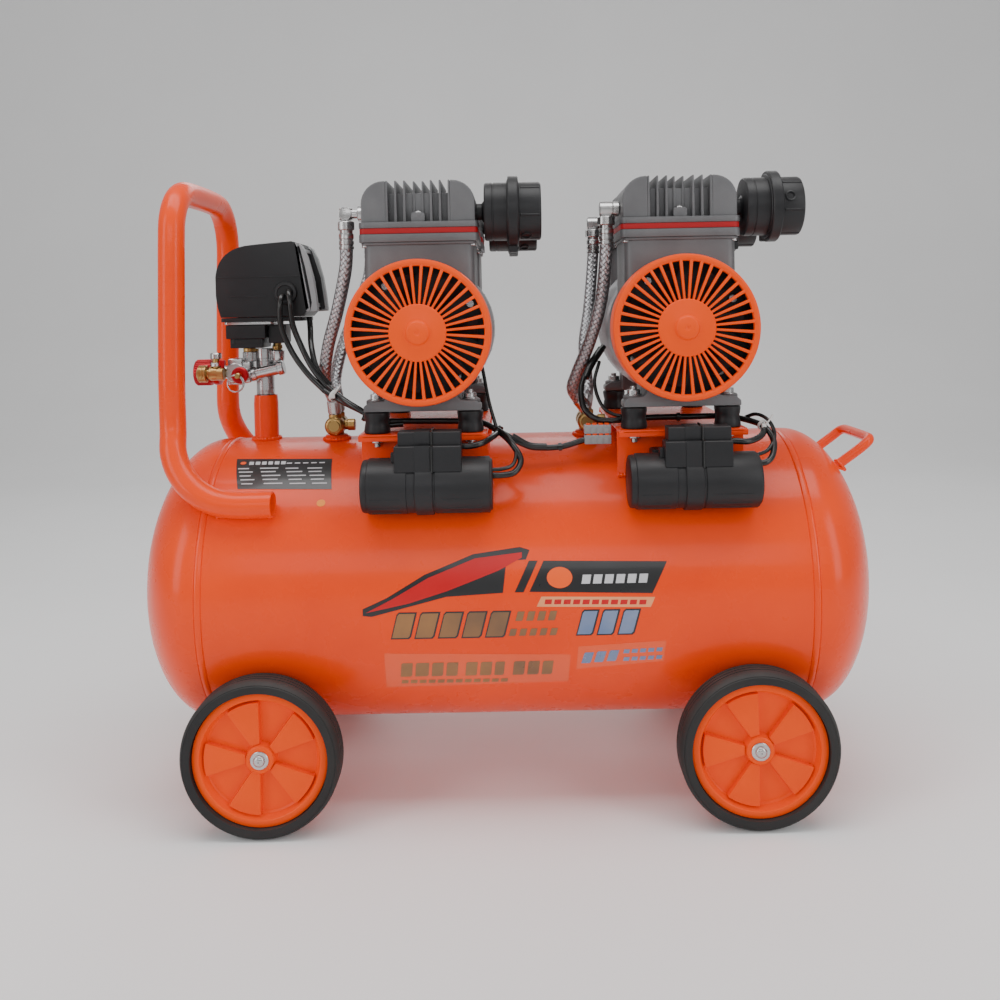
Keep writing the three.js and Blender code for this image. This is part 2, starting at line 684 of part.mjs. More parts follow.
// ---------------------------------------------------------------- pressure switch
const LEVER = { x0: -236, x1: -218, halfY: 3.5, z: 566, halfHeight: 3 };
function hoodOutline() {
  const outline = new THREE.Shape();
  outline.moveTo(HOOD.leftX + 5, HOOD.bottomZ);
  outline.lineTo(HOOD.leftX, 552);
  outline.lineTo(HOOD.leftX, 574);
  outline.quadraticCurveTo(-320, 606, -284, 609);
  outline.lineTo(-231, 613.5);
  outline.lineTo(-219, 534);
  outline.lineTo(-224, 531);
  outline.lineTo(-227.5, HOOD.bottomZ);
  return outline;
}
function makeHood() {
  const { bottomZ, halfY, wall } = HOOD;
  const hollow = box(-319, -242, -halfY + wall, halfY - wall, bottomZ - 5, 592);
  const leverSlot = box(-245, -190, -6, 6, LEVER.z - 12, LEVER.z + 12);
  const gland = bar([-245, -halfY + 1, 554], [-245, -halfY - 5, 554], 13, 14);
  return join(prismY(hoodOutline(), -halfY, halfY), gland).subtract(hollow).subtract(leverSlot);
}
part("switch_hood", BLACK_PLASTIC, makeHood());
part(
  "switch_base",
  STEEL,
  join(
    box(-321, -228, -33, 33, SWITCH_BASE_Z, HOOD.bottomZ - GAP),
    box(-305, -250, -20, 20, SWITCH_BASE_Z + 4, 575),
  ),
);
function makeLever() {
  const { x0, x1, halfY, z, halfHeight } = LEVER;
  return box(x0, x1, -halfY, halfY, z - halfHeight, z + halfHeight);
}
part("on_off_lever", BLACK_PLASTIC, makeLever());

// ---------------------------------------------------------------- wiring
// Leads that start and end on the machine, tied together where they meet.
const BUNDLE_START = [-199, -62, 445];
const CABLES = {
  gland_lead: [
    [-248, -41, 551],
    [-248, -46.5, 550],
    [-248.5, -51, 542],
    [-248, -51, 518],
    [-237, -50, 489],
    [-219, -55, 464],
    BUNDLE_START,
  ],
  hood_lead: [[-223.5, -14, 526], [-222, -18, 514], [-217, -38, 492], [-210, -57, 467], BUNDLE_START],
  left_trunk: [
    BUNDLE_START,
    [-178, -75, 434],
    [-156, -83, 424],
    [-138, -81, 413.5],
    [-100, -78, 411],
    [-60, -76, 410],
    [-25, -82, 408.5],
    [-6, -93, 400],
    [27, -92, 383],
    [60, -87, 381],
    [88, -85, 388],
    [112, -85, 389],
  ],
  left_capacitor_lead: [
    [-6, -93, 400],
    [8, -116, 389],
    [17, -126, 373],
    [10, -135, 362],
    [-3, -139, 360],
    [-11.8, -139, 360],
  ],
  left_relay_lead: [
    [-6, -93, 400],
    [-12, -116, 397],
    [-23, -134, 393],
    [-35, -139, 391],
    [-43.8, -139, 391],
  ],
  right_motor_lead: [
    [111, -33, 484],
    [98, -45, 467],
    [86, -60, 444],
    [88, -74, 420],
    [102, -79, 409],
    [124, -80, 408],
    [160, -78, 410],
    [200, -77, 410],
    [240, -79, 410],
    [262, -94, 407],
    [276, -112, 401],
    [282, -123, 388],
    [277, -134, 373],
    [269, -139, 368],
    [261.7, -139, 368],
  ],
  right_relay_lead: [
    [276, -112, 401],
    [268, -126, 394],
    [252, -137, 390],
    [239, -139, 391],
    [229.7, -139, 391],
  ],
};
const WIRE_CONNECTORS = [{ x: 101, y: -85, z: 389 }, { x: 101, y: -84, z: 400 }];
function makeHarness() {
  let made;
  for (const route of Object.values(CABLES)) {
    const steps = Math.round(route.length * 1.4);
    const lead = tube(route, CABLE_RADIUS, 6, steps);
    made = made ? made.add(lead) : lead;
  }
  for (const { x, y, z } of WIRE_CONNECTORS) {
    made = made.add(box(x - 15, x + 15, y - 5, y + 5, z - 6, z + 6));
  }
  return made;
}
part("cable_harness", BLACK_PLASTIC, makeHarness());

export default root;
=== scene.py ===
"""Looks of the twin-pump oil-free air compressor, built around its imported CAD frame.

Lengths are in millimetres and turned into metres when a mesh is made. Lengthwise
positions are counted from the receiver's own middle, as in the part's source.
"""

import bpy
import bmesh
import math
from mathutils import Matrix, Vector


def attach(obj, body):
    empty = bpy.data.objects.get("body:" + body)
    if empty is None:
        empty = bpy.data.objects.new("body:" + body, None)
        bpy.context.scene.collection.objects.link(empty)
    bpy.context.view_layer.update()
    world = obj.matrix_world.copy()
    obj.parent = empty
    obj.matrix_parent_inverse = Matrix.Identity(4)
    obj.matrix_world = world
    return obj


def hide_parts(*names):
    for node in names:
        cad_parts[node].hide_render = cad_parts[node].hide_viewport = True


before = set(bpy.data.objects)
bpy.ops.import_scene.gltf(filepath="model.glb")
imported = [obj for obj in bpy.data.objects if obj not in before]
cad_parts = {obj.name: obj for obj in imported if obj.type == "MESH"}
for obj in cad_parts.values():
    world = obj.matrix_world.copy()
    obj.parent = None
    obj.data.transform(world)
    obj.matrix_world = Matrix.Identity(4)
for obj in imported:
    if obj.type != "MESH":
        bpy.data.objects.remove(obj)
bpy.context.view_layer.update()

MM = 0.001
OFFSET = -5.5  # the receiver's middle, seen from the middle of the whole object
TAU = 2 * math.pi

# ------------------------------------------------------------------ camera
CAMERA = {"x": 7.2, "y": -1159.2, "z": 532.6, "lens": 35.72, "shift": (-0.0105, -0.1662)}
PITCH, YAW, ROLL = (math.radians(a) for a in (1.5, -0.22, 1.12))


def make_camera():
    data = bpy.data.cameras.new("camera")
    data.lens = CAMERA["lens"]
    data.sensor_width = 36
    data.shift_x, data.shift_y = CAMERA["shift"]
    data.clip_start = 0.01
    data.dof.use_dof = False
    camera = bpy.data.objects.new("camera", data)
    bpy.context.scene.collection.objects.link(camera)
    ahead = Vector((math.sin(YAW) * math.cos(PITCH), math.cos(YAW) * math.cos(PITCH), -math.sin(PITCH)))
    right = Vector((math.cos(YAW), -math.sin(YAW), 0))
    up = right.cross(ahead)
    tilted_right = right * math.cos(ROLL) - up * math.sin(ROLL)
    tilted_up = up * math.cos(ROLL) + right * math.sin(ROLL)
    turn = Matrix((tilted_right, tilted_up, -ahead)).transposed().to_4x4()
    place = Matrix.Translation(Vector((CAMERA["x"], CAMERA["y"], CAMERA["z"])) * MM)
    camera.matrix_world = place @ turn
    bpy.context.scene.camera = camera


make_camera()


# ------------------------------------------------------------------ materials
class Finish:
    """A node material under construction, with short ways to add and join nodes."""

    def __init__(self, name):
        self.material = bpy.data.materials.new(name)
        self.material.use_nodes = True
        self.tree = self.material.node_tree
        self.shader = self.tree.nodes["Principled BSDF"]
        self.place = self.node("ShaderNodeTexCoord").outputs["Object"]

    def node(self, kind, **values):
        made = self.tree.nodes.new(kind)
        for key, value in values.items():
            if hasattr(made, key):
                setattr(made, key, value)
            else:
                made.inputs[key.replace("_", " ").title()].default_value = value
        return made

    def put(self, value, socket):
        if isinstance(value, bpy.types.NodeSocket):
            self.tree.links.new(value, socket)
        else:
            socket.default_value = value

    def math(self, operation, a, b=0.0, c=0.0):
        made = self.node("ShaderNodeMath", operation=operation)
        for value, socket in zip((a, b, c), made.inputs):
            self.put(value, socket)
        return made.outputs[0]

    def noise(self, scale, detail=3.0, roughness=0.55, stretch=None):
        where = self.place
        if stretch:
            mapping = self.node("ShaderNodeMapping")
            self.put(self.place, mapping.inputs["Vector"])
            mapping.inputs["Scale"].default_value = stretch
            where = mapping.outputs[0]
        made = self.node("ShaderNodeTexNoise")
        self.put(where, made.inputs["Vector"])
        made.inputs["Scale"].default_value = scale
        made.inputs["Detail"].default_value = detail
        made.inputs["Roughness"].default_value = roughness
        return made.outputs["Fac"]

    def spread(self, value, low, high, start=0.3, end=0.7):
        made = self.node("ShaderNodeMapRange")
        for item, socket in zip((value, start, end, low, high), made.inputs):
            self.put(item, socket)
        return made.outputs[0]

    def mix(self, factor, a, b):
        made = self.node("ShaderNodeMix", data_type="RGBA")
        self.put(factor, made.inputs[0])
        self.put(a if isinstance(a, bpy.types.NodeSocket) else (*a, 1), made.inputs[6])
        self.put(b if isinstance(b, bpy.types.NodeSocket) else (*b, 1), made.inputs[7])
        return made.outputs[2]

    def facing_up(self):
        normal = self.node("ShaderNodeNewGeometry").outputs["Normal"]
        split = self.node("ShaderNodeSeparateXYZ")
        self.put(normal, split.inputs[0])
        return split.outputs["Z"]

    def bump(self, height, strength, distance, before=None):
        made = self.node("ShaderNodeBump")
        made.inputs["Strength"].default_value = strength
        made.inputs["Distance"].default_value = distance
        self.put(height, made.inputs["Height"])
        if before:
            self.put(before, made.inputs["Normal"])
        return made.outputs[0]


def finish(name, colour, shade, rough, metal=0.0, grain=(400, 0.2), coat=0.0, dust=0.04, stretch=None,
           shine=0.35):
    """Paint, plastic, rubber or metal: cloudy tone, uneven gloss, fine grain and a little dust on top."""
    f = Finish(name)
    tone = f.mix(f.spread(f.noise(9, 5), 0.0, 1.0), colour, shade)
    fine = f.noise(grain[0], 4, 0.6, stretch)
    tone = f.mix(f.spread(fine, 0.0, 0.18, 0.35, 0.75), tone, shade)
    settled = f.math("MULTIPLY", f.spread(f.facing_up(), 0.0, dust, 0.2, 1.0), f.noise(35, 5))
    tone = f.mix(settled, tone, (0.62, 0.58, 0.54))
    f.put(tone, f.shader.inputs["Base Color"])
    f.put(metal, f.shader.inputs["Metallic"])
    gloss = f.math("ADD", f.spread(f.noise(24, 6), rough * 0.86, rough * 1.14),
                   f.math("MULTIPLY", settled, 0.6))
    f.put(gloss, f.shader.inputs["Roughness"])
    f.put(coat, f.shader.inputs["Coat Weight"])
    f.put(0.1, f.shader.inputs["Coat Roughness"])
    f.put(shine, f.shader.inputs["Specular IOR Level"])
    broad = f.bump(f.noise(60, 2), 0.05, 0.002)
    f.put(f.bump(fine, grain[1], 0.0004, broad), f.shader.inputs["Normal"])
    return f.material


def braid(name):
    """Woven steel wire: two families of strand bundles that pass over and under each other. The colour
    turns darker where the weave sits low, at the strand edges and between wires, as painted shade.
    """
    f = Finish(name)
    split = f.node("ShaderNodeSeparateXYZ")
    f.put(f.node("ShaderNodeTexCoord").outputs["UV"], split.inputs[0])
    around, along = split.outputs["X"], split.outputs["Y"]
    one, two = f.math("ADD", around, along), f.math("SUBTRACT", around, along)

    def strand(t):
        across = f.math("FRACT", t)
        crown = f.math("SINE", f.math("MULTIPLY", across, math.pi))
        wires = f.math("ABSOLUTE", f.math("SINE", f.math("MULTIPLY", across, 4 * math.pi)))
        return f.math("ADD", crown, f.math("MULTIPLY", wires, 0.3))

    cell = f.math("ADD", f.math("FLOOR", one), f.math("FLOOR", two))
    over = f.math("ABSOLUTE", f.math("MODULO", cell, 2.0))
    high, low = strand(one), strand(two)
    height = f.math("ADD", f.math("MULTIPLY", high, over),
                    f.math("MULTIPLY", low, f.math("SUBTRACT", 1.0, over)))
    # painted shade: the wire colour darkens with the weave's height, towards each strand's edges and into
    # the grooves between wires
    tone = f.mix(f.spread(height, 0.0, 1.0, 0.1, 1.0), (0.05, 0.05, 0.055), (0.62, 0.62, 0.64))
    f.put(f.mix(f.spread(f.noise(30, 4), 0.0, 0.3), tone, (0.3, 0.29, 0.28)),
          f.shader.inputs["Base Color"])
    f.put(1.0, f.shader.inputs["Metallic"])
    f.put(f.spread(f.noise(300, 3), 0.28, 0.42), f.shader.inputs["Roughness"])
    f.put(f.bump(height, 0.9, 0.0006), f.shader.inputs["Normal"])
    return f.material


# Each finish: main colour, second colour, roughness, then what sets it apart.
LOOKS = {
    "orange_paint": ((0.93, 0.062, 0.0), (0.84, 0.05, 0.0), 0.28,
                     dict(grain=(900, 0.05), coat=0.16, dust=0.02, shine=0.2)),
    "orange_plastic": ((0.95, 0.08, 0.0), (0.88, 0.07, 0.0), 0.36,
                       dict(grain=(700, 0.12), dust=0.02, shine=0.18)),
    "grey_casting": ((0.185, 0.185, 0.19), (0.1, 0.1, 0.104), 0.46,
                     dict(metal=0.4, grain=(900, 0.5), dust=0.1)),
    "aluminium": ((0.5, 0.5, 0.51), (0.3, 0.3, 0.31), 0.42,
                  dict(metal=0.8, grain=(500, 0.4), stretch=(1, 8, 1))),
    "black_plastic": ((0.016, 0.016, 0.018), (0.009, 0.009, 0.01), 0.42, dict(grain=(900, 0.3))),
    "label_black": ((0.012, 0.012, 0.013), (0.02, 0.02, 0.021), 0.3, dict(grain=(200, 0.05), coat=0.3)),
    "tyre_rubber": ((0.013, 0.013, 0.014), (0.024, 0.023, 0.022), 0.6,
                    dict(grain=(600, 0.35), dust=0.08)),
    "brass": ((0.55, 0.36, 0.14), (0.36, 0.21, 0.07), 0.3, dict(metal=1.0, grain=(500, 0.16))),
    "zinc_steel": ((0.62, 0.62, 0.63), (0.42, 0.41, 0.4), 0.27, dict(metal=1.0, grain=(450, 0.16))),
    "red_plastic": ((0.5, 0.006, 0.016), (0.34, 0.004, 0.01), 0.3, dict(metal=0.5, grain=(500, 0.1))),
    "cable_black": ((0.006, 0.006, 0.006), (0.011, 0.011, 0.011), 0.24,
                    dict(grain=(800, 0.1), coat=0.25)),
    "gasket_red": ((0.42, 0.004, 0.008), (0.28, 0.003, 0.006), 0.5, dict(grain=(800, 0.2))),
    "grey_plastic": ((0.33, 0.34, 0.34), (0.26, 0.26, 0.27), 0.4, dict(grain=(700, 0.15))),
    "white_plastic": ((0.74, 0.74, 0.72), (0.62, 0.61, 0.58), 0.4, dict(grain=(700, 0.12))),
    "red_print": ((0.62, 0.006, 0.01), (0.5, 0.004, 0.008), 0.3, dict(grain=(300, 0.05))),
    "pale_print": ((0.66, 0.66, 0.68), (0.5, 0.5, 0.52), 0.34, dict(grain=(300, 0.05))),
    "salmon_print": ((0.9, 0.36, 0.16), (0.85, 0.3, 0.12), 0.34, dict(grain=(300, 0.05))),
    "bronze_print": ((0.42, 0.2, 0.07), (0.17, 0.1, 0.06), 0.3, dict(metal=0.3, grain=(90, 0.05))),
    "blue_print": ((0.1, 0.17, 0.34), (0.32, 0.36, 0.46), 0.3, dict(metal=0.3, grain=(90, 0.05))),
    "orange_print": ((1.0, 0.12, 0.01), (0.9, 0.09, 0.008), 0.34, dict(grain=(300, 0.05))),
    "amber_print": ((1.0, 0.3, 0.005), (0.9, 0.24, 0.004), 0.34, dict(grain=(300, 0.05))),
    "clear_film": ((0.92, 0.085, 0.006), (0.8, 0.07, 0.004), 0.2, dict(grain=(300, 0.04), coat=0.6)),
}
PAINT = {name: finish(name, *colours, **traits) for name, (*colours, traits) in LOOKS.items()}
PAINT["braided_steel"] = braid("braided_steel")
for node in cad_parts.values():
    for slot in node.material_slots:
        plain = slot.material.name.split(".")[0] if slot.material else "zinc_steel"
        slot.material = PAINT.get(plain, PAINT["zinc_steel"])


# ------------------------------------------------------------------ room
def make_room():
    data = bpy.data.meshes.new("floor")
    far, near, side, wall = 3.2, -4.0, 6.0, 4.5
    rows = [(near, 0.0), (far - 1.2, 0.0)]
    rows += [(far - 1.2 + 1.2 * math.sin(a), 1.2 - 1.2 * math.cos(a))
             for a in (0.3, 0.6, 0.9, 1.2, math.pi / 2)]
    rows.append((far, wall))
    corners = [(x, y, z) for y, z in rows for x in (-side, side)]
    faces = [(2 * i, 2 * i + 1, 2 * i + 3, 2 * i + 2) for i in range(len(rows) - 1)]
    data.from_pydata(corners, [], faces)
    data.polygons.foreach_set("use_smooth", [True] * len(faces))
    floor = bpy.data.objects.new("floor", data)
    bpy.context.scene.collection.objects.link(floor)
    pale = Finish("pale_floor")
    pale.put(pale.mix(pale.spread(pale.noise(2, 4), 0, 1), (0.93, 0.93, 0.93), (0.9, 0.9, 0.9)),
             pale.shader.inputs["Base Color"])
    pale.put(0.75, pale.shader.inputs["Roughness"])
    data.materials.append(pale.material)
    world = bpy.data.worlds.new("studio")
    world.use_nodes = True
    world.node_tree.nodes["Background"].inputs[0].default_value = (1, 1, 1, 1)
    world.node_tree.nodes["Background"].inputs[1].default_value = 0.42
    bpy.context.scene.world = world


def soft_light(name, place, target, width, height, power, colour=(1, 1, 1)):
    data = bpy.data.lights.new(name, "AREA")
    data.shape = "RECTANGLE"
    data.size, data.size_y, data.energy, data.color = width, height, power, colour
    light = bpy.data.objects.new(name, data)
    light.location = place
    light.rotation_euler = (Vector(target) - Vector(place)).to_track_quat("-Z", "Y").to_euler()
    bpy.context.scene.collection.objects.link(light)


make_room()
soft_light("top_softbox", (0.0, -0.35, 2.1), (0, 0, 0.35), 2.4, 0.9, 30)
soft_light("left_softbox", (-1.9, -1.5, 1.1), (0, 0, 0.4), 0.8, 1.9, 15)
soft_light("right_softbox", (1.9, -1.5, 1.1), (0, 0, 0.4), 0.8, 1.9, 15)
soft_light("front_fill", (0.0, -3.2, 1.5), (0, 0, 0.3), 2.4, 1.0, 15)
soft_light("back_light", (0.0, 2.2, 1.9), (0, 0, 0.5), 2.0, 0.8, 12)


# ------------------------------------------------------------------ mesh tools
def frames_along(points):
    """A right and an up vector at each point of a path, carried along without twisting."""
    ahead = []
    for i in range(len(points)):
        before, after = points[max(i - 1, 0)], points[min(i + 1, len(points) - 1)]
        ahead.append((after - before).normalized())
    right = ahead[0].orthogonal().normalized()
    turned = []
    for direction in ahead:
        right = (right - direction * right.dot(direction)).normalized()
        turned.append((right, direction.cross(right)))
    return turned


def smooth_path(points, spacing):
    """A centripetal Catmull-Rom curve through the points, sampled about every `spacing` mm."""
    pts = [Vector(p) for p in points]
    pts = [pts[0] * 2 - pts[1], *pts, pts[-1] * 2 - pts[-2]]
    out = []
    for a, b, c, d in zip(pts, pts[1:], pts[2:], pts[3:]):
        t1 = (b - a).length ** 0.5
        t2 = t1 + (c - b).length ** 0.5
        t3 = t2 + (d - c).length ** 0.5
        steps = max(2, int((c - b).length / spacing))
        for i in range(steps):
            t = t1 + (t2 - t1) * i / steps
            p = a * ((t1 - t) / t1) + b * (t / t1)
            q = b * ((t2 - t) / (t2 - t1)) + c * ((t - t1) / (t2 - t1))
            r = c * ((t3 - t) / (t3 - t2)) + d * ((t - t2) / (t3 - t2))
            u = p * ((t2 - t) / t2) + q * (t / t2)
            v = q * ((t3 - t) / (t3 - t1)) + r * ((t - t1) / (t3 - t1))
            out.append(u * ((t2 - t) / (t2 - t1)) + v * ((t - t1) / (t2 - t1)))
    return [*out, pts[-2]]


class Piece:
    """One visible object made of several solids that share a body and a finish."""

    def __init__(self, name, body, slot, *replaced, at=(0, 0, 0), turn=None, look=None):
        self.name, self.body, self.slot, self.replaced = name, body, slot, replaced
        self.look = look or slot
        self.at, self.turn = Vector(at), turn
        self.bm = bmesh.new()
        self.uv = self.bm.loops.layers.uv.new("UVMap")

    def local(self, point):
        """A point given in the piece's own frame, in the receiver's frame."""
        point = Vector(point)
        return (self.turn @ point if self.turn else point) + self.at

    def take(self, verts, faces, bevel=0.0, segments=2, angle=40, uvs=None):
        part = bmesh.new()
        made = [part.verts.new(self.local(v)) for v in verts]
        layer = part.loops.layers.uv.new("UVMap")
        for k, face in enumerate(faces):
            new = part.faces.new([made[i] for i in face])
            if uvs:
                for loop, value in zip(new.loops, uvs[k]):
                    loop[layer].uv = value
        bmesh.ops.recalc_face_normals(part, faces=part.faces)
        if bevel:
            sharp = [e for e in part.edges if e.is_manifold and e.calc_face_angle() > math.radians(angle)]
            bmesh.ops.bevel(part, geom=sharp, offset=bevel, segments=segments, profile=0.6,
                            affect="EDGES", clamp_overlap=True)
        spare = bpy.data.meshes.new("spare")
        part.to_mesh(spare)
        part.free()
        self.bm.from_mesh(spare)
        bpy.data.meshes.remove(spare)
        return self

    def box(self, x0, x1, y0, y1, z0, z1, bevel=0.6, segments=2):
        corners = [(x, y, z) for x in (x0, x1) for y in (y0, y1) for z in (z0, z1)]
        faces = [(0, 1, 3, 2), (4, 6, 7, 5), (0, 4, 5, 1), (2, 3, 7, 6), (0, 2, 6, 4), (1, 5, 7, 3)]
        return self.take(corners, faces, bevel, segments)

    def turned(self, origin, axis, profile, sides=32, closed=False):
        """A profile of [radius, distance along the axis] points turned about the axis."""
        axis = Vector(axis).normalized()
        side = axis.orthogonal().normalized()
        other = axis.cross(side)
        origin = Vector(origin)
        verts, rings = [], []
        for radius, along in profile:
            if radius < 1e-6:
                rings.append([len(verts)])
                verts.append(origin + axis * along)
                continue
            rings.append(list(range(len(verts), len(verts) + sides)))
            for i in range(sides):
                a = TAU * (i + 0.5) / sides
                verts.append(origin + axis * along + (side * math.cos(a) + other * math.sin(a)) * radius)
        faces = []
        pairs = list(zip(rings, rings[1:]))
        if closed:
            pairs.append((rings[-1], rings[0]))
        for one, two in pairs:
            for i in range(sides):
                j = (i + 1) % sides
                if len(one) == 1 and len(two) > 1:
                    faces.append((one[0], two[i], two[j]))
                elif len(two) == 1 and len(one) > 1:
                    faces.append((one[i], one[j], two[0]))
                elif len(one) > 1:
                    faces.append((one[i], one[j], two[j], two[i]))
        return self.take(verts, faces)

    def bar(self, start, end, radius, end_radius=None, sides=28, chamfer=0.5):
        """A round bar between two points with broken edges."""
        start, end = Vector(start), Vector(end)
        length = (end - start).length
        last = radius if end_radius is None else end_radius
        c = min(chamfer, length / 3, radius / 3, last / 3)
        profile = [(0, 0), (radius - c, 0), (radius, c), (last, length - c), (last - c, length),
                   (0, length)]
        return self.turned(start, end - start, profile, sides)

    def hexagon(self, start, end, across, chamfer=0.7):
        """A hexagon bar; `across` is its corner radius."""
        start, end = Vector(start), Vector(end)
        length = (end - start).length
        axis = (end - start).normalized()
        side = axis.orthogonal().normalized()
        other = axis.cross(side)
        verts = []
        for along in (0, length):
            for i in range(6):
                a = TAU * i / 6
                verts.append(start + axis * along + (side * math.cos(a) + other * math.sin(a)) * across)
        faces = [tuple(range(5, -1, -1)), tuple(range(6, 12))]
        faces += [(i, (i + 1) % 6, 6 + (i + 1) % 6, 6 + i) for i in range(6)]
        return self.take(verts, faces, bevel=chamfer, segments=1)

    def tube(self, points, radius, sides=20, spacing=4.0, smooth=True, weave=None, scale=None, caps=True):
        """A bar bent along a smooth path; `scale(t)` changes its radius from one end to the other."""
        path = smooth_path(points, spacing) if smooth else [Vector(p) for p in points]
        verts, along, travelled = [], [], 0.0
        for k, (here, (right, up)) in enumerate(zip(path, frames_along(path))):
            travelled += (here - path[k - 1]).length if k else 0.0
            along.append(travelled)
            r = radius * (scale(k / (len(path) - 1)) if scale else 1)
            verts += [here + (right * math.cos(TAU * i / sides) + up * math.sin(TAU * i / sides)) * r
                      for i in range(sides)]
        faces, uvs = [], []
        for k in range(len(path) - 1):
            for i in range(sides):
                a, b = k * sides + i, k * sides + (i + 1) % sides
                faces.append((a, b, b + sides, a + sides))
                if weave:
                    u0, u1 = i / sides * weave[0], (i + 1) / sides * weave[0]
                    v0, v1 = along[k] / weave[1], along[k + 1] / weave[1]
                    uvs.append(((u0, v0), (u1, v0), (u1, v1), (u0, v1)))
        if caps:
            faces.append(tuple(range(sides - 1, -1, -1)))
            faces.append(tuple(range(len(verts) - sides, len(verts))))
            uvs += [((0, 0),) * sides] * 2
        return self.take(verts, faces, uvs=uvs if weave else None)

    def prism(self, outline, y0, y1, bevel=0.6, segments=2, angle=40):
        """An outline of [x, z] points pushed along Y."""
        n = len(outline)
        verts = [(x, y0, z) for x, z in outline] + [(x, y1, z) for x, z in outline]
        faces = [tuple(range(n)), tuple(range(2 * n - 1, n - 1, -1))]
        faces += [(i, n + i, n + (i + 1) % n, (i + 1) % n) for i in range(n)]
        return self.take(verts, faces, bevel, segments, angle)

    def ring(self, centre, axis, radius, thick, sides=40, round_sides=10):
        """A round ring, such as a weld bead or a wire loop."""
        profile = [(radius + thick * math.cos(TAU * i / round_sides),
                    thick * math.sin(TAU * i / round_sides)) for i in range(round_sides)]
        return self.turned(centre, axis, profile, sides, closed=True)

    def weld(self, centre, axis, radius, thick=1.8):
        """A weld bead around a foot: a ring with small ripples."""
        axis = Vector(axis).normalized()
        side = axis.orthogonal().normalized()
        other = axis.cross(side)
        count = max(48, int(TAU * radius / 1.1))
        points = []
        for i in range(count):
            a = TAU * i / count
            points.append(Vector(centre) + (side * math.cos(a) + other * math.sin(a)) * radius)
        return self.bead(points + points[:1], thick)

    def bead(self, points, thick=1.8):
        """A weld bead along close points, with the ripples of a hand-drawn weld."""
        return self.tube(points, thick, 10, smooth=False, caps=False,
                         scale=lambda t: 1 + 0.16 * math.sin(t * len(points) * 1.9)
                         + 0.06 * math.sin(t * 61))

    def done(self, angle=32):
        data = bpy.data.meshes.new(self.name)
        bmesh.ops.remove_doubles(self.bm, verts=self.bm.verts, dist=0.0005)
        self.bm.to_mesh(data)
        self.bm.free()
        data.transform(Matrix.Scale(MM, 4) @ Matrix.Translation((OFFSET, 0, 0)))
        data.polygons.foreach_set("use_smooth", [True] * len(data.polygons))
        data.set_sharp_from_angle(angle=math.radians(angle))
        data.materials.append(PAINT[self.look])
        made = bpy.data.objects.new(self.name, data)
        bpy.context.scene.collection.objects.link(made)
        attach(made, self.body)
        if self.replaced:
            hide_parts(*self.replaced)
        return made


# ------------------------------------------------------------------ receiver
TANK_R, TANK_Z, BARREL, HEAD_DEPTH, SEAM_X = 158, 227, 327, 79, 316
TANK_TOP = TANK_Z + TANK_R
RISER_X, SOCKET_TOP = -279.5, 436.5
VALVE_X = {"left": -195.5, "right": 94}
DRAIN_X = -302


def on_tank(x, z, lift=0.0):
    """The point of the receiver's front at a given height, lifted off the paint."""
    r = TANK_R + lift
    return (x, -math.sqrt(max(r * r - (z - TANK_Z) ** 2, 0)), z)


def tank_profile():
    half = []
    for i in range(25):
        a = math.pi / 2 * i / 24
        half.append((TANK_R * math.sin(a), BARREL + HEAD_DEPTH * math.cos(a)))
    half[0] = (0, half[0][1])
    half += [(TANK_R, SEAM_X + 6), (TANK_R, SEAM_X + 4.2), (TANK_R - 0.5, SEAM_X + 3.6),
             (TANK_R + 0.5, SEAM_X + 2.8), (TANK_R + 1.0, SEAM_X + 1.4), (TANK_R + 1.1, SEAM_X),
             (TANK_R + 1.0, SEAM_X - 1.4), (TANK_R + 0.5, SEAM_X - 2.8), (TANK_R - 0.5, SEAM_X - 3.6),
             (TANK_R, SEAM_X - 4.2), (TANK_R, SEAM_X - 6)]
    half += [(TANK_R, x) for x in (280, 220, 160, 100, 50)]
    return half + [(r, -x) for r, x in reversed(half)]


def make_tank():
    tank = Piece("receiver", "frame", "orange_paint", "tank_shell")
    tank.turned((0, 0, TANK_Z), (1, 0, 0), tank_profile(), 160)
    socket = [(13.4, 0), (14, 0.8), (14, 50), (13.2, SOCKET_TOP - TANK_TOP + 8),
              (11.2, SOCKET_TOP - TANK_TOP + 8)]
    socket += [(10.6, 40), (0, 40)]
    tank.turned((RISER_X, 0, TANK_TOP - 8), (0, 0, 1), socket, 40)
    tank.weld((RISER_X, 0, TANK_TOP + 0.8), (0, 0, 1), 15.2, 2.2)
    for x in VALVE_X.values():
        tank.bar((x, -10, TANK_TOP - 6), (x, -10, TANK_TOP + 5), 13, chamfer=1.2)
        tank.weld((x, -10, TANK_TOP + 0.4), (0, 0, 1), 14.4, 2.0)
    tank.bar((DRAIN_X, 0, 64.6), (DRAIN_X, 0, 72), 11, chamfer=1)
    tank.weld((DRAIN_X, 0, 68.8), (0, 0, 1), 12, 1.8)
    tank.done(24)


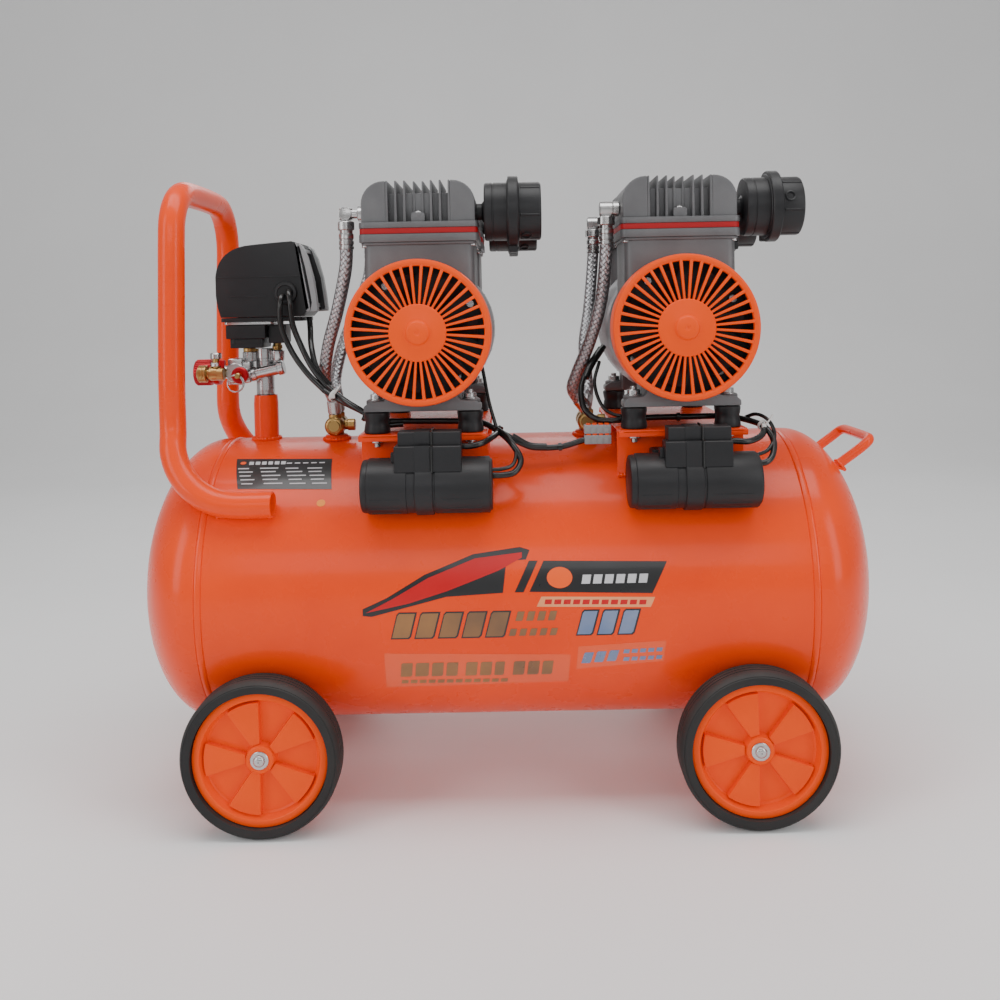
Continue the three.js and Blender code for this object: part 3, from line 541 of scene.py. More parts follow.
def make_handles():
    rail = {"y": 135.6, "z": 333.2, "end": -241.5, "bend": 75}
    x, lean, leg_y, top, tube, top_bend = -353.5, 4, 104, 679, 13.8, 50
    corner_x, corner_z = x + rail["bend"], rail["z"] + rail["bend"]

    def side_points(side):
        points = [(rail["end"], side * rail["y"], rail["z"]),
                  (corner_x + 14, side * rail["y"], rail["z"])]
        for i in range(6):
            a = math.pi / 2 * i / 5
            y = rail["y"] - (rail["y"] - leg_y) * i * i / 25
            points.append((corner_x - rail["bend"] * math.sin(a), side * y,
                           corner_z - rail["bend"] * math.cos(a)))
        points += [(x, side * leg_y, corner_z + 50), (x + 0.6 * lean, side * leg_y, 560)]
        for i in range(6):
            a = math.pi / 2 * i / 5
            y = leg_y - top_bend * (1 - math.cos(a))
            points.append((x + lean, side * y, top - tube - top_bend * (1 - math.sin(a))))
        return points

    handle = Piece("carry_handle_tube", "frame", "orange_paint", "carry_handle")
    front, back = side_points(-1), side_points(1)
    handle.tube([*front, *reversed(back)], tube, 36, 5, caps=False)
    for side in (-1, 1):
        mouth = [(tube, 0), (tube - 0.8, -0.6), (tube - 2.2, 0), (tube - 2.4, 30), (0, 30)]
        handle.turned((rail["end"], side * rail["y"], rail["z"]), (-1, 0, 0), mouth, 36)
        for shift in (-6.5, 6.5):
            y = side * (125.3 + 0.787 * shift)
            z = 325.1 - 0.617 * shift
            handle.bead([Vector((-302 + i * 1.1, y, z)) for i in range(54)], 2.0)
    handle.done()

    grab = Piece("grab_handle_rod", "frame", "orange_paint", "grab_handle")
    half = [(368.5, -50, 347), (399, -50, 369), (407, -48.5, 375.4), (410.3, -42, 377.8), (411, -34, 378)]
    grab.tube([*half, *[(px, -py, pz) for px, py, pz in reversed(half)]], 5.5, 20, 3)
    for side in (-1, 1):
        grab.weld((375, side * 50, 349.3), (0.74, 0, 0.67), 7.0, 1.7)
    grab.take([(362, -58, 349), (377, -58, 343.5), (377, -43, 346), (362, -43, 351.5), (362, -58, 352),
               (378.5, -58, 346), (378.5, -43, 348.5), (362, -43, 354.5)],
              [(0, 1, 2, 3), (4, 7, 6, 5), (0, 4, 5, 1), (1, 5, 6, 2), (2, 6, 7, 3), (3, 7, 4, 0)], 0.8)
    grab.done()


# ------------------------------------------------------------------ running gear
WHEEL_X, WHEEL_Y, AXLE_Z, WHEEL_R, RIM_R = 252.5, 160, 81.5, 81.5, 69


def make_wheel(end, row):
    x = WHEEL_X if end == "right" else -WHEEL_X
    facing = -1 if row == "front" else 1
    turn = None if row == "front" else Matrix.Rotation(math.pi, 3, "Z")
    where = {"at": (x, facing * WHEEL_Y, AXLE_Z), "turn": turn}
    body = f"{row}_{end}_wheel"

    tyre = Piece(f"{row}_{end}_tyre_looks", body, "tyre_rubber", f"{row}_{end}_tyre", **where)
    wall = [(RIM_R + 0.4, -16.6), (72, -17), (76.5, -16.6), (77.2, -15.8), (77.9, -16), (79.6, -14.2),
            (80.9, -11.4)]
    tread = [(WHEEL_R, -9), (WHEEL_R, -6.6), (80.3, -6.2), (80.3, -5), (WHEEL_R, -4.6), (WHEEL_R, -0.8),
             (80.3, -0.5)]
    half = wall + tread
    tyre.turned((0, 0, 0), (0, 1, 0), half + [(r, -y) for r, y in reversed(half)]
                + [(RIM_R + 0.4, -16.6)], 96)
    tyre.done(30)

    rim = Piece(f"{row}_{end}_rim_looks", body, "orange_plastic", f"{row}_{end}_rim", **where)
    face = [(6.6, -12), (12.6, -12), (14, -11), (14.8, -6.4), (16, -1.6), (56.5, -1.6), (58.4, -3),
            (61.2, -11.4), (62, -12), (66.8, -12), (68.6, -11.2), (69.1, -9.5)]
    back = [(69.1, 12.5), (68, 14), (62.6, 14), (60.6, 3), (58, 1.4), (15, 1.4), (14, 13), (13, 14),
            (6.6, 14)]
    rim.turned((0, 0, 0), (0, 1, 0), face + back, 96, closed=True)
    for i in range(5):
        middle = TAU * (0.3 + i / 5)
        outline = [(15.5, 0.3), (15.5, -0.3)]
        outline += [(57.6, -0.3 + 0.6 * k / 8) for k in range(9)]
        wedge = [(r * math.cos(middle + a), r * math.sin(middle + a)) for r, a in outline]
        rim.prism(wedge, -8.9, -1, 1.0, 2, 50)
    rim.done(34)

    bolt = Piece(f"{row}_{end}_wheel_bolt", body, "zinc_steel", **where)
    bolt.turned((0, 0, 0), (0, 1, 0), [(0, -13.4), (8.8, -13.4), (9.4, -12.9), (9.4, -12.0), (0, -12.0)],
                40)
    dome = [(0, -17), (3.2, -16.7), (5.2, -15.6), (6, -14.2), (6, -13.2), (0, -13.2)]
    bolt.turned((0, 0, 0), (0, 1, 0), dome, 36)
    for a in (0.5, 0.5 + math.pi / 2):
        dx, dz = 3.4 * math.cos(a), 3.4 * math.sin(a)
        nx, nz = -0.55 * math.sin(a), 0.55 * math.cos(a)
        bolt.take([(s * dx + t * nx, y, s * dz + t * nz) for y in (-17.0, -16.2) for s in (-1, 1)
                   for t in (-1, 1)], [(0, 1, 3, 2), (4, 6, 7, 5), (0, 4, 5, 1), (2, 3, 7, 6),
                                       (0, 2, 6, 4), (1, 5, 7, 3)])
    bolt.done()


def make_axle_bracket(end):
    """A folded channel that hugs the receiver's underside and carries the wheel bolts."""
    x0 = WHEEL_X if end == "right" else -WHEEL_X
    half_x, half_y, sheet, low = 32, 120, 3, 66
    piece = Piece(f"{end}_axle_channel", "frame", "orange_paint", f"{end}_axle_bracket", at=(x0, 0, 0))

    def tank_z(y):
        return TANK_Z - math.sqrt(TANK_R ** 2 - y * y) - 0.2

    steps = 24
    for side in (-1, 1):
        xa, xb = side * half_x, side * (half_x - sheet)
        verts, faces = [], []
        for i in range(steps + 1):
            y = -half_y + 2 * half_y * i / steps
            verts += [(xa, y, low), (xa, y, max(tank_z(y), low + 2.6)),
                      (xb, y, max(tank_z(y), low + 2.6)), (xb, y, low)]
        for i in range(steps):
            a = 4 * i
            faces += [(a, a + 1, a + 5, a + 4), (a + 1, a + 2, a + 6, a + 5),
                      (a + 2, a + 3, a + 7, a + 6), (a + 3, a, a + 4, a + 7)]
        faces += [(0, 3, 2, 1), (4 * steps, 4 * steps + 1, 4 * steps + 2, 4 * steps + 3)]
        piece.take(verts, faces)
        piece.box(-half_x, half_x, side * half_y - (sheet if side > 0 else 0),
                  side * half_y + (sheet if side < 0 else 0), low, tank_z(half_y) - 0.2, 0.9)
        y = side * (half_y - 1)
        contact = [Vector((x, y, tank_z(half_y - 1) + 0.4)) for x in range(-30, 31)]
        piece.bead(contact, 1.7)
        piece.tube([(-31, side * (half_y - 60), low), (31, side * (half_y - 60), low)], 1.2, 8,
                   smooth=False)
        piece.bar((0, side * (half_y - 1), AXLE_Z), (0, side * (half_y + 5), AXLE_Z), 12, chamfer=1)
    piece.done()
    axle = Piece(f"{end}_axle_bolts", "frame", "zinc_steel", at=(x0, 0, 0))
    for side in (-1, 1):
        axle.bar((0, side * (half_y - 3), AXLE_Z), (0, side * (WHEEL_Y + 11), AXLE_Z), 6)
        axle.hexagon((0, side * (half_y - 14), AXLE_Z), (0, side * (half_y - 4), AXLE_Z), 10)
        axle.bar((0, side * (half_y + 5), AXLE_Z), (0, side * (WHEEL_Y - 14.6), AXLE_Z), 9.5, chamfer=0.8)
    axle.done()


make_tank()
make_handles()
for which in ("left", "right"):
    make_axle_bracket(which)
    for row_name in ("front", "rear"):
        make_wheel(which, row_name)


# ------------------------------------------------------------------ pumps
PUMP_X = {"left": -85.5, "right": 188}
SHAFT_Z = 509
DECK_Z = 612
HEAD_BOTTOM, HEAD_FLANGE_TOP, HEAD_TOP, HEAD_HALF = 618, 624.5, 667.5, 59.7


def span(side, y0, y1):
    """A stretch of Y drawn for the rear cylinder, or mirrored for the front one."""
    return (y0, y1) if side > 0 else (-y1, -y0)


def rounded(x0, x1, z0, z1, radius, steps=5):
    """A rectangle with round corners as [x, z] points."""
    out = []
    for cx, cz, a0 in ((x1 - radius, z0 + radius, -90), (x1 - radius, z1 - radius, 0),
                       (x0 + radius, z1 - radius, 90), (x0 + radius, z0 + radius, 180)):
        for i in range(steps + 1):
            a = math.radians(a0 + 90 * i / steps)
            out.append((cx + radius * math.cos(a), cz + radius * math.sin(a)))
    return out


def divided(outline, step=5):
    """The same outline with a point at least every few millimetres."""
    out = []
    for (x0, y0), (x1, y1) in zip(outline, [*outline[1:], outline[0]]):
        count = max(1, math.ceil(math.hypot(x1 - x0, y1 - y0) / step))
        out += [(x0 + (x1 - x0) * k / count, y0 + (y1 - y0) * k / count) for k in range(count)]
    return out


def upright(piece, outline, z0, z1, bevel=0.8, hole=None):
    """An [x, y] outline pushed up from z0 to z1, with a round hole of (y, radius) if one is given."""
    if hole:
        y, r = hole
        outline = divided(outline)
        n = len(outline)
        angles = [math.atan2(py - y, px) for px, py in outline]
        inside = [(r * math.cos(a), y + r * math.sin(a)) for a in angles]
        verts = [(px, py, z) for points in (outline, inside) for z in (z0, z1) for px, py in points]
        faces = []
        for i in range(n):
            j = (i + 1) % n
            faces += [(i, j, n + j, n + i), (n + i, n + j, 3 * n + j, 3 * n + i),
                      (3 * n + i, 3 * n + j, 2 * n + j, 2 * n + i), (2 * n + i, 2 * n + j, j, i)]
        return piece.take(verts, faces, bevel, 2, 50)
    n = len(outline)
    verts = [(x, y, z) for z in (z0, z1) for x, y in outline]
    faces = [tuple(range(n)), tuple(range(2 * n - 1, n - 1, -1))]
    faces += [(i, n + i, n + (i + 1) % n, (i + 1) % n) for i in range(n)]
    return piece.take(verts, faces, bevel, 2, 50)


def make_head(which, end, side, at):
    head = Piece(f"{which}_{end}_head_looks", "frame", "grey_casting", f"{which}_{end}_head", at=at)
    y0, y1 = span(side, 26, 125)
    upright(head, rounded(-62.5, 62.5, y0, y1, 7), HEAD_BOTTOM + 0.2, HEAD_FLANGE_TOP, 0.9)
    shoulder, floor_z, face = 24, HEAD_TOP - 12.5, 10
    right_arc = [(HEAD_HALF - shoulder + shoulder * math.cos(a),
                  HEAD_TOP - shoulder + shoulder * math.sin(a))
                 for a in (i * math.pi / 16 for i in range(9))]
    outer = [p for p in right_arc if p[0] >= 33]
    lobes = [(33.4, floor_z - 1), (33.4, HEAD_TOP), *reversed(outer), (HEAD_HALF, HEAD_FLANGE_TOP - 1)]
    y_in0, y_in1 = span(side, 28, 122)
    body0, body1 = span(side, 30, 122 - face)
    core = [(-40, HEAD_FLANGE_TOP - 1), (40, HEAD_FLANGE_TOP - 1), (40, floor_z), (-40, floor_z)]
    head.prism(core, body0, body1, 0.7)
    for mirror in (-1, 1):
        block = [(mirror * px, pz) for px, pz in [(33.4, HEAD_FLANGE_TOP - 1), *lobes]]
        head.prism(block, y_in0, y_in1, 4.5, 4, 50)
    for i in range(8):
        x = (i - 3.5) * 9.3
        fin = [(x - 1.45, HEAD_FLANGE_TOP - 1), (x + 1.45, HEAD_FLANGE_TOP - 1), (x + 0.9, HEAD_TOP),
               (x - 0.9, HEAD_TOP)]
        head.prism(fin, *(span(side, 28, 113.5) if i in (3, 4) else (y_in0, y_in1)), 0.7, 2)
    boss = rounded(-7.2, 7.2, HEAD_FLANGE_TOP - 1, HEAD_FLANGE_TOP + 9.6, 3)
    head.prism(boss, *span(side, 111, 122.6), 0.8)
    head.done(30)

    bolts = Piece(f"{which}_{end}_head_bolts", "frame", "zinc_steel", at=at)
    bolts.bar((0, side * 116.6, HEAD_FLANGE_TOP + 9), (0, side * 116.6, HEAD_FLANGE_TOP + 11), 4.2,
              chamfer=0.5)
    bolts.done()

    gasket = Piece(f"{which}_{end}_gasket", "frame", "gasket_red", at=at)
    g0, g1 = span(side, 26.6, 124.4)
    upright(gasket, rounded(-61.9, 61.9, g0, g1, 6.6), DECK_Z + 0.3, HEAD_BOTTOM, 0.3, (side * 77, 31))
    gasket.done()


def make_casing(which, at):
    cast = Piece(f"{which}_casing_looks", "frame", "grey_casting", f"{which}_casing", at=at)
    for side in (-1, 1):
        y0, y1 = span(side, 30, 121)
        bore = (side * 77, 31.6)
        upright(cast, rounded(-58, 58, y0, y1, 9), SHAFT_Z + 30, DECK_Z - 10, 0.3, bore)
        f0, f1 = span(side, 26, 125)
        upright(cast, rounded(-62.5, 62.5, f0, f1, 7), DECK_Z - 8.5, DECK_Z, 1.0, bore)
        upright(cast, rounded(-60.4, 60.4, f0 + 2, f1 - 2, 7), DECK_Z - 11.5, DECK_Z - 8.4, 1.4, bore)
        profile = [(30, 40), (56, 40), (58, 42), (58, 95), (57, 99), (54, 102), (54, 105), (51, 108),
                   (47.5, 108), (46, 106), (46, 99), (9.5, 97), (9.5, 40)]
        cast.turned((0, 0, SHAFT_Z), (0, side, 0), profile, 64, closed=True)
        b0, b1 = span(side, 70, 112)
        cast.box(-42, 42, b0, b1, 428, SHAFT_Z - 30, 3, 3)
        e0, e1 = span(side, 92, 119)
        foot = [(-62, 425.6), (62, 425.6), (62, 431), (57, 435.3), (40, 437), (34, 446), (-34, 446),
                (-40, 437), (-57, 435.3), (-62, 431)]
        cast.prism(foot, e0, e1, 1.4)
        for x in (-49.7, 49.7):
            cast.bar((x, side * 105, 432), (x, side * 105, 437.5), 11, chamfer=1.2)
        for a in range(8):
            angle = math.radians(22.5 + 45 * a)
            px, pz = 51 * math.cos(angle), SHAFT_Z + 51 * math.sin(angle)
            cast.bar((px, side * 98, pz), (px, side * 107.2, pz), 4.6, chamfer=0.6)
    cast.done(30)

    motor = Piece(f"{which}_motor_housing", "frame", "aluminium", at=at)
    shell = [(46.5, -38), (69, -38), (72, -36), (75.4, -27), (75.4, 27), (72, 36), (69, 38), (46.5, 38)]
    motor.turned((0, 0, SHAFT_Z), (0, 1, 0), shell, 96, closed=True)
    for i in range(28):
        a = TAU * (i + 0.5) / 28
        c, s = math.cos(a), math.sin(a)
        rib = [(r * c - t * s, r * s + t * c + SHAFT_Z) for r,
               t in ((74.6, -1), (74.6, 1), (75.9, 0.7), (75.9, -0.7))]
        motor.prism(rib, -26, 26, 0.3, 1)
    motor.done(30)

    bolts = Piece(f"{which}_casing_bolts", "frame", "zinc_steel", at=at)
    for side in (-1, 1):
        for x in (-49.7, 49.7):
            bolts.hexagon((x, side * 105, 438), (x, side * 105, 443.6), 7.4)
            bolts.bar((x, side * 105, 443), (x, side * 105, 447), 3.4)
            bolts.bar((x, side * 105, 437.2), (x, side * 105, 438.4), 8.6, chamfer=0.3)
        for x in (-56, 56):
            for y in (side * 36, side * 115):
                bolts.bar((x, y, DECK_Z - 13.4), (x, y, DECK_Z - 10), 4.2, chamfer=0.4)
    bolts.done()


GUARD_RADIUS = {"front": 75.2, "rear": 60}
RIBS = 40


def make_guard(which, end, side, at):
    guard = Piece(f"{which}_{end}_guard_looks", "frame", "orange_plastic", f"{which}_{end}_guard", at=at)
    edge = GUARD_RADIUS[end]
    rim = [(-2.8, 123.2), (0, 123.2), (0, 151.6), (-0.8, 153.8), (-2.4, 154.8), (-5, 154.8), (-6.6, 154),
           (-7.4, 152.4), (-7.4, 150.4), (-3.4, 150.2), (-2.8, 149.4)]
    guard.turned((0, 0, SHAFT_Z), (0, side, 0), [(edge + inset, y) for inset, y in rim], 96, closed=True)
    hub = [(0, 151.4), (27.6, 151.4), (28.6, 152), (29.5, 153.2), (29.5, 154.6), (28.6, 155.6),
           (27, 155.9), (14.4, 155.9), (13, 156.4), (12.2, 157.6), (11.2, 159.1), (9.6, 159.8),
           (3, 159.9), (2, 159.2), (0, 158.9)]
    guard.turned((0, 0, SHAFT_Z), (0, side, 0), hub, 72)
    for i in range(RIBS):
        a = TAU * (i + 0.5) / RIBS
        c, s = math.cos(a), math.sin(a)
        corners = ((28.4, -1.2), (28.4, 1.2), (edge - 6, 1.7), (edge - 6, -1.7))
        rib = [(r * c - t * s, r * s + t * c + SHAFT_Z) for r, t in corners]
        guard.prism(rib, *sorted((side * 150.8, side * 154.7)), 0.75, 2)
    guard.done(34)

    inside = Piece(f"{which}_{end}_fan_chamber", "frame", "black_plastic", at=at)
    wall = [(edge - 3, 123.4), (edge - 3, 149), (edge - 3.8, 149), (edge - 3.8, 123.4)]
    inside.turned((0, 0, SHAFT_Z), (0, side, 0), wall, 72, closed=True)
    back = [(10.5, 121.4), (edge - 3.4, 121.4), (edge - 3.4, 122.6), (10.5, 122.6)]
    inside.turned((0, 0, SHAFT_Z), (0, side, 0), back, 72, closed=True)
    inside.done()
    screws = Piece(f"{which}_{end}_fan_screws", "frame", "zinc_steel", at=at)
    for a in (0.5, 2.2, 3.7, 5.4):
        px, pz = (edge - 15) * math.cos(a), SHAFT_Z + (edge - 15) * math.sin(a)
        screws.bar((px, side * 122.4, pz), (px, side * 125.2, pz), 4.4, chamfer=0.6)
    screws.done()


BLADES = 7
BLADE_STEPS = 6


def make_fan(which, end, side, at):
    fan = Piece(f"{which}_{end}_fan_looks", f"{which}_rotor", "black_plastic", f"{which}_{end}_fan",
                at=at)
    y0, y1 = 126.2, 141.8
    tip = GUARD_RADIUS[end] - 13.6
    hub = [(8.7, y0), (13.4, y0), (14, y0 + 0.6), (14, y1 - 1.4), (12.6, y1), (8.7, y1)]
    fan.turned((0, 0, SHAFT_Z), (0, side, 0), hub, 48, closed=True)
    for i in range(BLADES):
        verts, faces = [], []
        for k in range(BLADE_STEPS + 1):
            part_way = k / BLADE_STEPS
            r = 13 + (tip - 13) * part_way
            for y, lead in ((y0 + 0.4, -0.16), (y1 - 0.4, 0.2)):
                for t in (-1.0, 1.0):
                    a = TAU * i / BLADES + lead + 0.1 * math.sin(part_way * math.pi) + t / r
                    verts.append((r * math.cos(a), side * y, SHAFT_Z + r * math.sin(a)))
        for k in range(BLADE_STEPS):
            a, b = 4 * k, 4 * k + 4
            faces += [(a, b, b + 2, a + 2), (a + 1, a + 3, b + 3, b + 1), (a, a + 1, b + 1, b),
                      (a + 2, b + 2, b + 3, a + 3)]
        end_face = 4 * BLADE_STEPS
        faces += [(0, 2, 3, 1), (end_face, end_face + 1, end_face + 3, end_face + 2)]
        fan.take(verts, faces)
    fan.done(40)


INLET_SIDE = {"left": (0, -15, -26.5), "right": (0, -29.8, 7.7)}
INLET_PROFILE = [(5.6, 0), (5.6, 1.7), (4.7, 2.1), (3.9, 1.6), (3.9, 0.4), (0, 0.4)]


def make_filter(which, end, side, at):
    where = Vector(at) + Vector((0, side * 100, 635))
    can = Piece(f"{which}_{end}_filter_looks", "frame", "black_plastic", f"{which}_{end}_filter",
                at=where)
    profile = [(0, 60.4), (8.6, 60.4), (9, 61), (9, 66), (12, 68.4), (29.4, 69), (30.6, 70.2), (30.8, 72),
               (30.8, 77), (30.2, 77.4), (30.2, 78.6), (30.8, 79), (30.8, 92.4), (33.4, 92.8), (34, 93.6),
               (36.8, 93.8), (37.5, 94.8), (37.5, 103.6), (36.6, 104.8), (31.6, 105.2), (30.8, 106),
               (30.8, 126.4), (30, 128), (28.4, 128.8), (25.6, 128.8), (24.6, 127.6), (0, 127.4)]
    can.turned((0, 0, 0), (1, 0, 0), profile, 64)
    for a in range(0, 360, 60):
        r = math.radians(a + 12)
        px, pz = 30.2 * math.cos(r), 30.2 * math.sin(r)
        can.bar((107, px, pz), (127, px, pz), 1.5, chamfer=0.4, sides=12)
    tab = rounded(94.2, 103.8, -43.5, -34, 2)
    tab_y = 0 if (which, end) == ("left", "front") else -side * 24
    tab_z = 0 if tab_y == 0 else 8
    can.prism([(x, z + tab_z) for x, z in tab], tab_y - 6, tab_y + 6, 0.7)
    outward = Vector(INLET_SIDE[which]).normalized()
    can.turned(Vector((113, 0, 0)) + outward * 30, outward, INLET_PROFILE, 32)
    can.done(32)


for which in ("left", "right"):
    place = (PUMP_X[which], 0, 0)
    make_casing(which, place)
    for end_name, end_side in (("front", -1), ("rear", 1)):
        make_head(which, end_name, end_side, place)
        make_guard(which, end_name, end_side, place)
        make_fan(which, end_name, end_side, place)
        make_filter(which, end_name, end_side, place)


# ------------------------------------------------------------------ pump plates
PLATE_TOP, FOOT_X, FOOT_Y = 402, 49.7, 105


def make_bracket(which, at):
    plate = Piece(f"{which}_pump_plate", "frame", "orange_paint", f"{which}_bracket", at=at)
    half_x, half_y, sheet = 67.6, 124, 3
    upright(plate, rounded(-half_x, half_x, -half_y, half_y, 5), PLATE_TOP - sheet, PLATE_TOP, 0.7)
    for side in (-1, 1):
        y0, y1 = span(side, 97, 100)
        low = TANK_Z + math.sqrt(TANK_R ** 2 - 98.5 ** 2)
        plate.box(-half_x, half_x, y0, y1, low, PLATE_TOP - 1, 0.5)
        foot = [Vector((x, side * 100.6, low + 0.6)) for x in range(-67, 68)]
        plate.bead(foot, 1.8)
        lip0, lip1 = span(side, half_y - 2.6, half_y)
        plate.box(-half_x, half_x, lip0, lip1, PLATE_TOP - 7, PLATE_TOP - 1, 0.8)
    plate.done()

    rubber = Piece(f"{which}_rubber_feet", "frame", "black_plastic", at=at)
    bolts = Piece(f"{which}_foot_bolts", "frame", "zinc_steel", at=at)
    for x in (-FOOT_X, FOOT_X):
        for y in (-FOOT_Y, FOOT_Y):
            rubber.turned((x, y, PLATE_TOP), (0, 0, 1),
                          [(0, 0.1), (12.6, 0.1), (13.8, 1), (14, 3), (13.2, 8), (12.4, 11.5), (13.2, 15),
                           (14, 20), (13.8, 22), (12.6, 23), (0, 23)], 40)
            bolts.bar((x, y, PLATE_TOP - 4.6), (x, y, PLATE_TOP - 3.1), 8.2, chamfer=0.3)
            bolts.hexagon((x, y, PLATE_TOP - 10.6), (x, y, PLATE_TOP - 4.6), 7.2)
            bolts.bar((x, y, PLATE_TOP - 15), (x, y, PLATE_TOP - 10), 3.6)
    rubber.done()
    bolts.done()


CAP_Y, CAP_Z = -142, 351.7


def make_capacitor(which, at):
    body = Piece(f"{which}_capacitor_looks", "frame", "black_plastic", f"{which}_capacitor", at=at)
    can = [(0, -61), (24.6, -61), (26.6, -60.1), (27.4, -58.1), (27.6, -54.5), (28.6, -53.9),
           (28.9, -52.9), (28.9, -14), (28.1, -13.4), (28.1, -5.6), (29.6, -5.2), (30.3, -4.4),
           (30.3, 12.2), (29.6, 13), (28.1, 13.4), (28.1, 15), (28.9, 15.4), (28.9, 69.4), (28.2, 70.6),
           (26.8, 71), (26.2, 72.4), (25, 72.9), (0, 72.9)]
    body.turned((0, CAP_Y, CAP_Z), (1, 0, 0), can, 72)
    for a in (-62, -44, -20):
        r = math.radians(a)
        y, z = CAP_Y - 28.5 * math.cos(r), CAP_Z + 28.5 * math.sin(r)
        body.box(-50, -20, y - 0.8, y + 0.8, z - 0.7, z + 0.7, 0.3)
        body.box(22, 62, y - 0.8, y + 0.8, z - 0.7, z + 0.7, 0.3)
    saddle = rounded(-34, 30, CAP_Z + 14, CAP_Z + 30, 3)
    body.prism(saddle, -128, -104, 1)
    body.done()
    where = Vector(at) + Vector((0, -151, 386.5))
    relay = Piece(f"{which}_relay_box", "frame", "black_plastic", at=where)
    relay.box(-25.8, 42.5, -15, 9, -18, 8.5, 1.6, 3)
    relay.box(-22, 42, -10, 14, 5, 22.4, 1.4, 3)
    for y0, y1, z0, z1 in ((-15.8, -14, -18.4, 9.2), (-10.8, -9, 8, 22.6), (-10.4, 14.4, 21.6, 23.2)):
        relay.box(-5, 10.5, y0, y1, z0, z1, 0.5)
    relay.box(-30, -25, -5, 5, -9, 1, 0.8)
    relay.done()
    tie = Piece(f"{which}_relay_strap", "frame", "cable_black", at=where)
    loop = [(12.6, -15.8, -18), (12.6, -15.8, 8.4), (12.6, -11, 9.8), (12.6, -10.9, 22.4),
            (12.6, -9.4, 23.4), (12.6, 13, 23.4), (12.6, 15, 21.6), (12.6, 15, -8)]
    tie.tube(loop, 1.2, 8, smooth=False)
    tie.done()


# ------------------------------------------------------------------ hoses
ELBOW_X = {"left": -80.5, "right": -74.5}
ELBOW_Y, ELBOW_Z = 90, 636.6
HOSE_R = 7.0
HOSE_ROUTES = {
    ("left", "front"): [(-82.5, -86, 580), (-95, -70, 535), (-111, -50, 490), (-117, -36, 455),
                        (-111, -22, 431), (-110, -20, 414.8)],
    ("left", "rear"): [(-83, 84, 575), (-98, 66, 530), (-112, 44, 485), (-117, 26, 450), (-111, 4, 431),
                       (-110, 2, 414.8)],
    ("right", "front"): [(-75.5, -86, 580), (-80, -68, 535), (-91.5, -49, 492), (-105, -35, 457),
                         (-110, -28, 439), (-103, -22, 426), (-94, -20, 414.8)],
    ("right", "rear"): [(-77, 84, 575), (-83, 66, 530), (-91, 44, 485), (-90, 26, 452), (-91, 5, 431),
                        (-94, 2, 414.8)],
}


def make_hose(which, end, side, at):
    x, y, z = ELBOW_X[which], side * ELBOW_Y, ELBOW_Z
    route = HOSE_ROUTES[which, end]
    hose = Piece(f"{which}_{end}_hose_braid", "frame", "braided_steel", f"{which}_{end}_hose", at=at)
    hose.tube([(x, y, z - 36), *route], HOSE_R, 32, 2.2, weave=(7, 6.4))
    hose.done(60)
    metal = Piece(f"{which}_{end}_hose_fittings", "frame", "zinc_steel", at=at)
    metal.bar((-60.1, y, z), (x + 4, y, z), 5)
    metal.hexagon((-67.5, y, z), (-60.4, y, z), 8.6)
    if which == "left":
        body = [(x + 7.6 * math.cos(TAU * (i + 0.5) / 8), z + 7.6 * math.sin(TAU * (i + 0.5) / 8))
                for i in range(8)]
        metal.prism(body, y - 7, y + 7, 1.2)
        for k in range(6):
            metal.turned((x, y, z - 6.4 + k * 2.2), (0, 0, 1),
                         [(6.2, 0), (7.2, 0.5), (7.2, 1.2), (6.2, 1.7)], 24, closed=True)
    else:
        metal.hexagon((x - 7, y, z), (x + 7, y, z), 8.4)
        metal.box(x - 6, x + 6, y - 6, y + 6, z - 8, z + 5, 1.6, 3)
    metal.hexagon((x, y, z - 17.5), (x, y, z - 8), 9.8, 0.9)
    metal.bar((x, y, z - 21), (x, y, z - 17), 7.0)
    metal.turned((x, y, z - 38), (0, 0, 1),
                 [(7.2, 0), (8, 0.5), (8, 3), (7.4, 3.6), (7.4, 5), (8, 5.6), (8, 9), (7.4, 9.6),
                  (7.4, 11), (8, 11.6), (8, 16), (7.2, 17.4)], 36, closed=True)
    last, before = Vector(route[-1]), Vector(route[-2])
    axis = (last - before).normalized()
    metal.bar(last - axis * 15, last - axis * 1.2, 7.9)
    metal.done()


def make_check_valve(which):
    x = VALVE_X[which]
    valve = Piece(f"{which}_check_valve_looks", "frame", "brass", f"{which}_check_valve", at=(x, 0, 0))
    z = 401
    profile = [(0, -31), (6.4, -31), (7.2, -30.2), (8.6, -30), (10.4, -28.6), (11, -27), (11, -16),
               (9.6, -15), (9.6, -5), (11, -4), (11, 7.6), (10, 9), (0, 9)]
    valve.turned((0, 0, z), (0, 1, 0), profile, 40)
    valve.hexagon((0, -29.6, z), (0, -20.5, z), 11.3, 1.1)
    valve.hexagon((0, -10, TANK_TOP + 5.4), (0, -10, TANK_TOP + 13), 9.2, 0.8)
    valve.bar((0, -10, TANK_TOP + 12), (0, -10, z), 7)
    valve.bar((0, -12, z), (15, -12, z), 5.8)
    valve.hexagon((13, -12, z), (21.8, -12, z), 7.4, 0.7)
    for y in (-20, 2):
        valve.bar((0, y, z), (0, y, 413.4), 6.8, chamfer=0.6)
        valve.hexagon((0, y, 409), (0, y, 414.4), 8.2, 0.6)
    valve.done()


for which in ("left", "right"):
    place = (PUMP_X[which], 0, 0)
    make_bracket(which, place)
    make_capacitor(which, place)
    make_check_valve(which)
    for end_name, end_side in (("front", -1), ("rear", 1)):
        make_hose(which, end_name, end_side, place)


# ------------------------------------------------------------------ riser and controls
PIPE_Z = 464
PORT_Z = PIPE_Z - 2
STUD, NIPPLE = (-296.5, -3), (-264, -3)
SAFETY_X = -299
OUTLET_Y, STEM_X = -28.5, -328.5


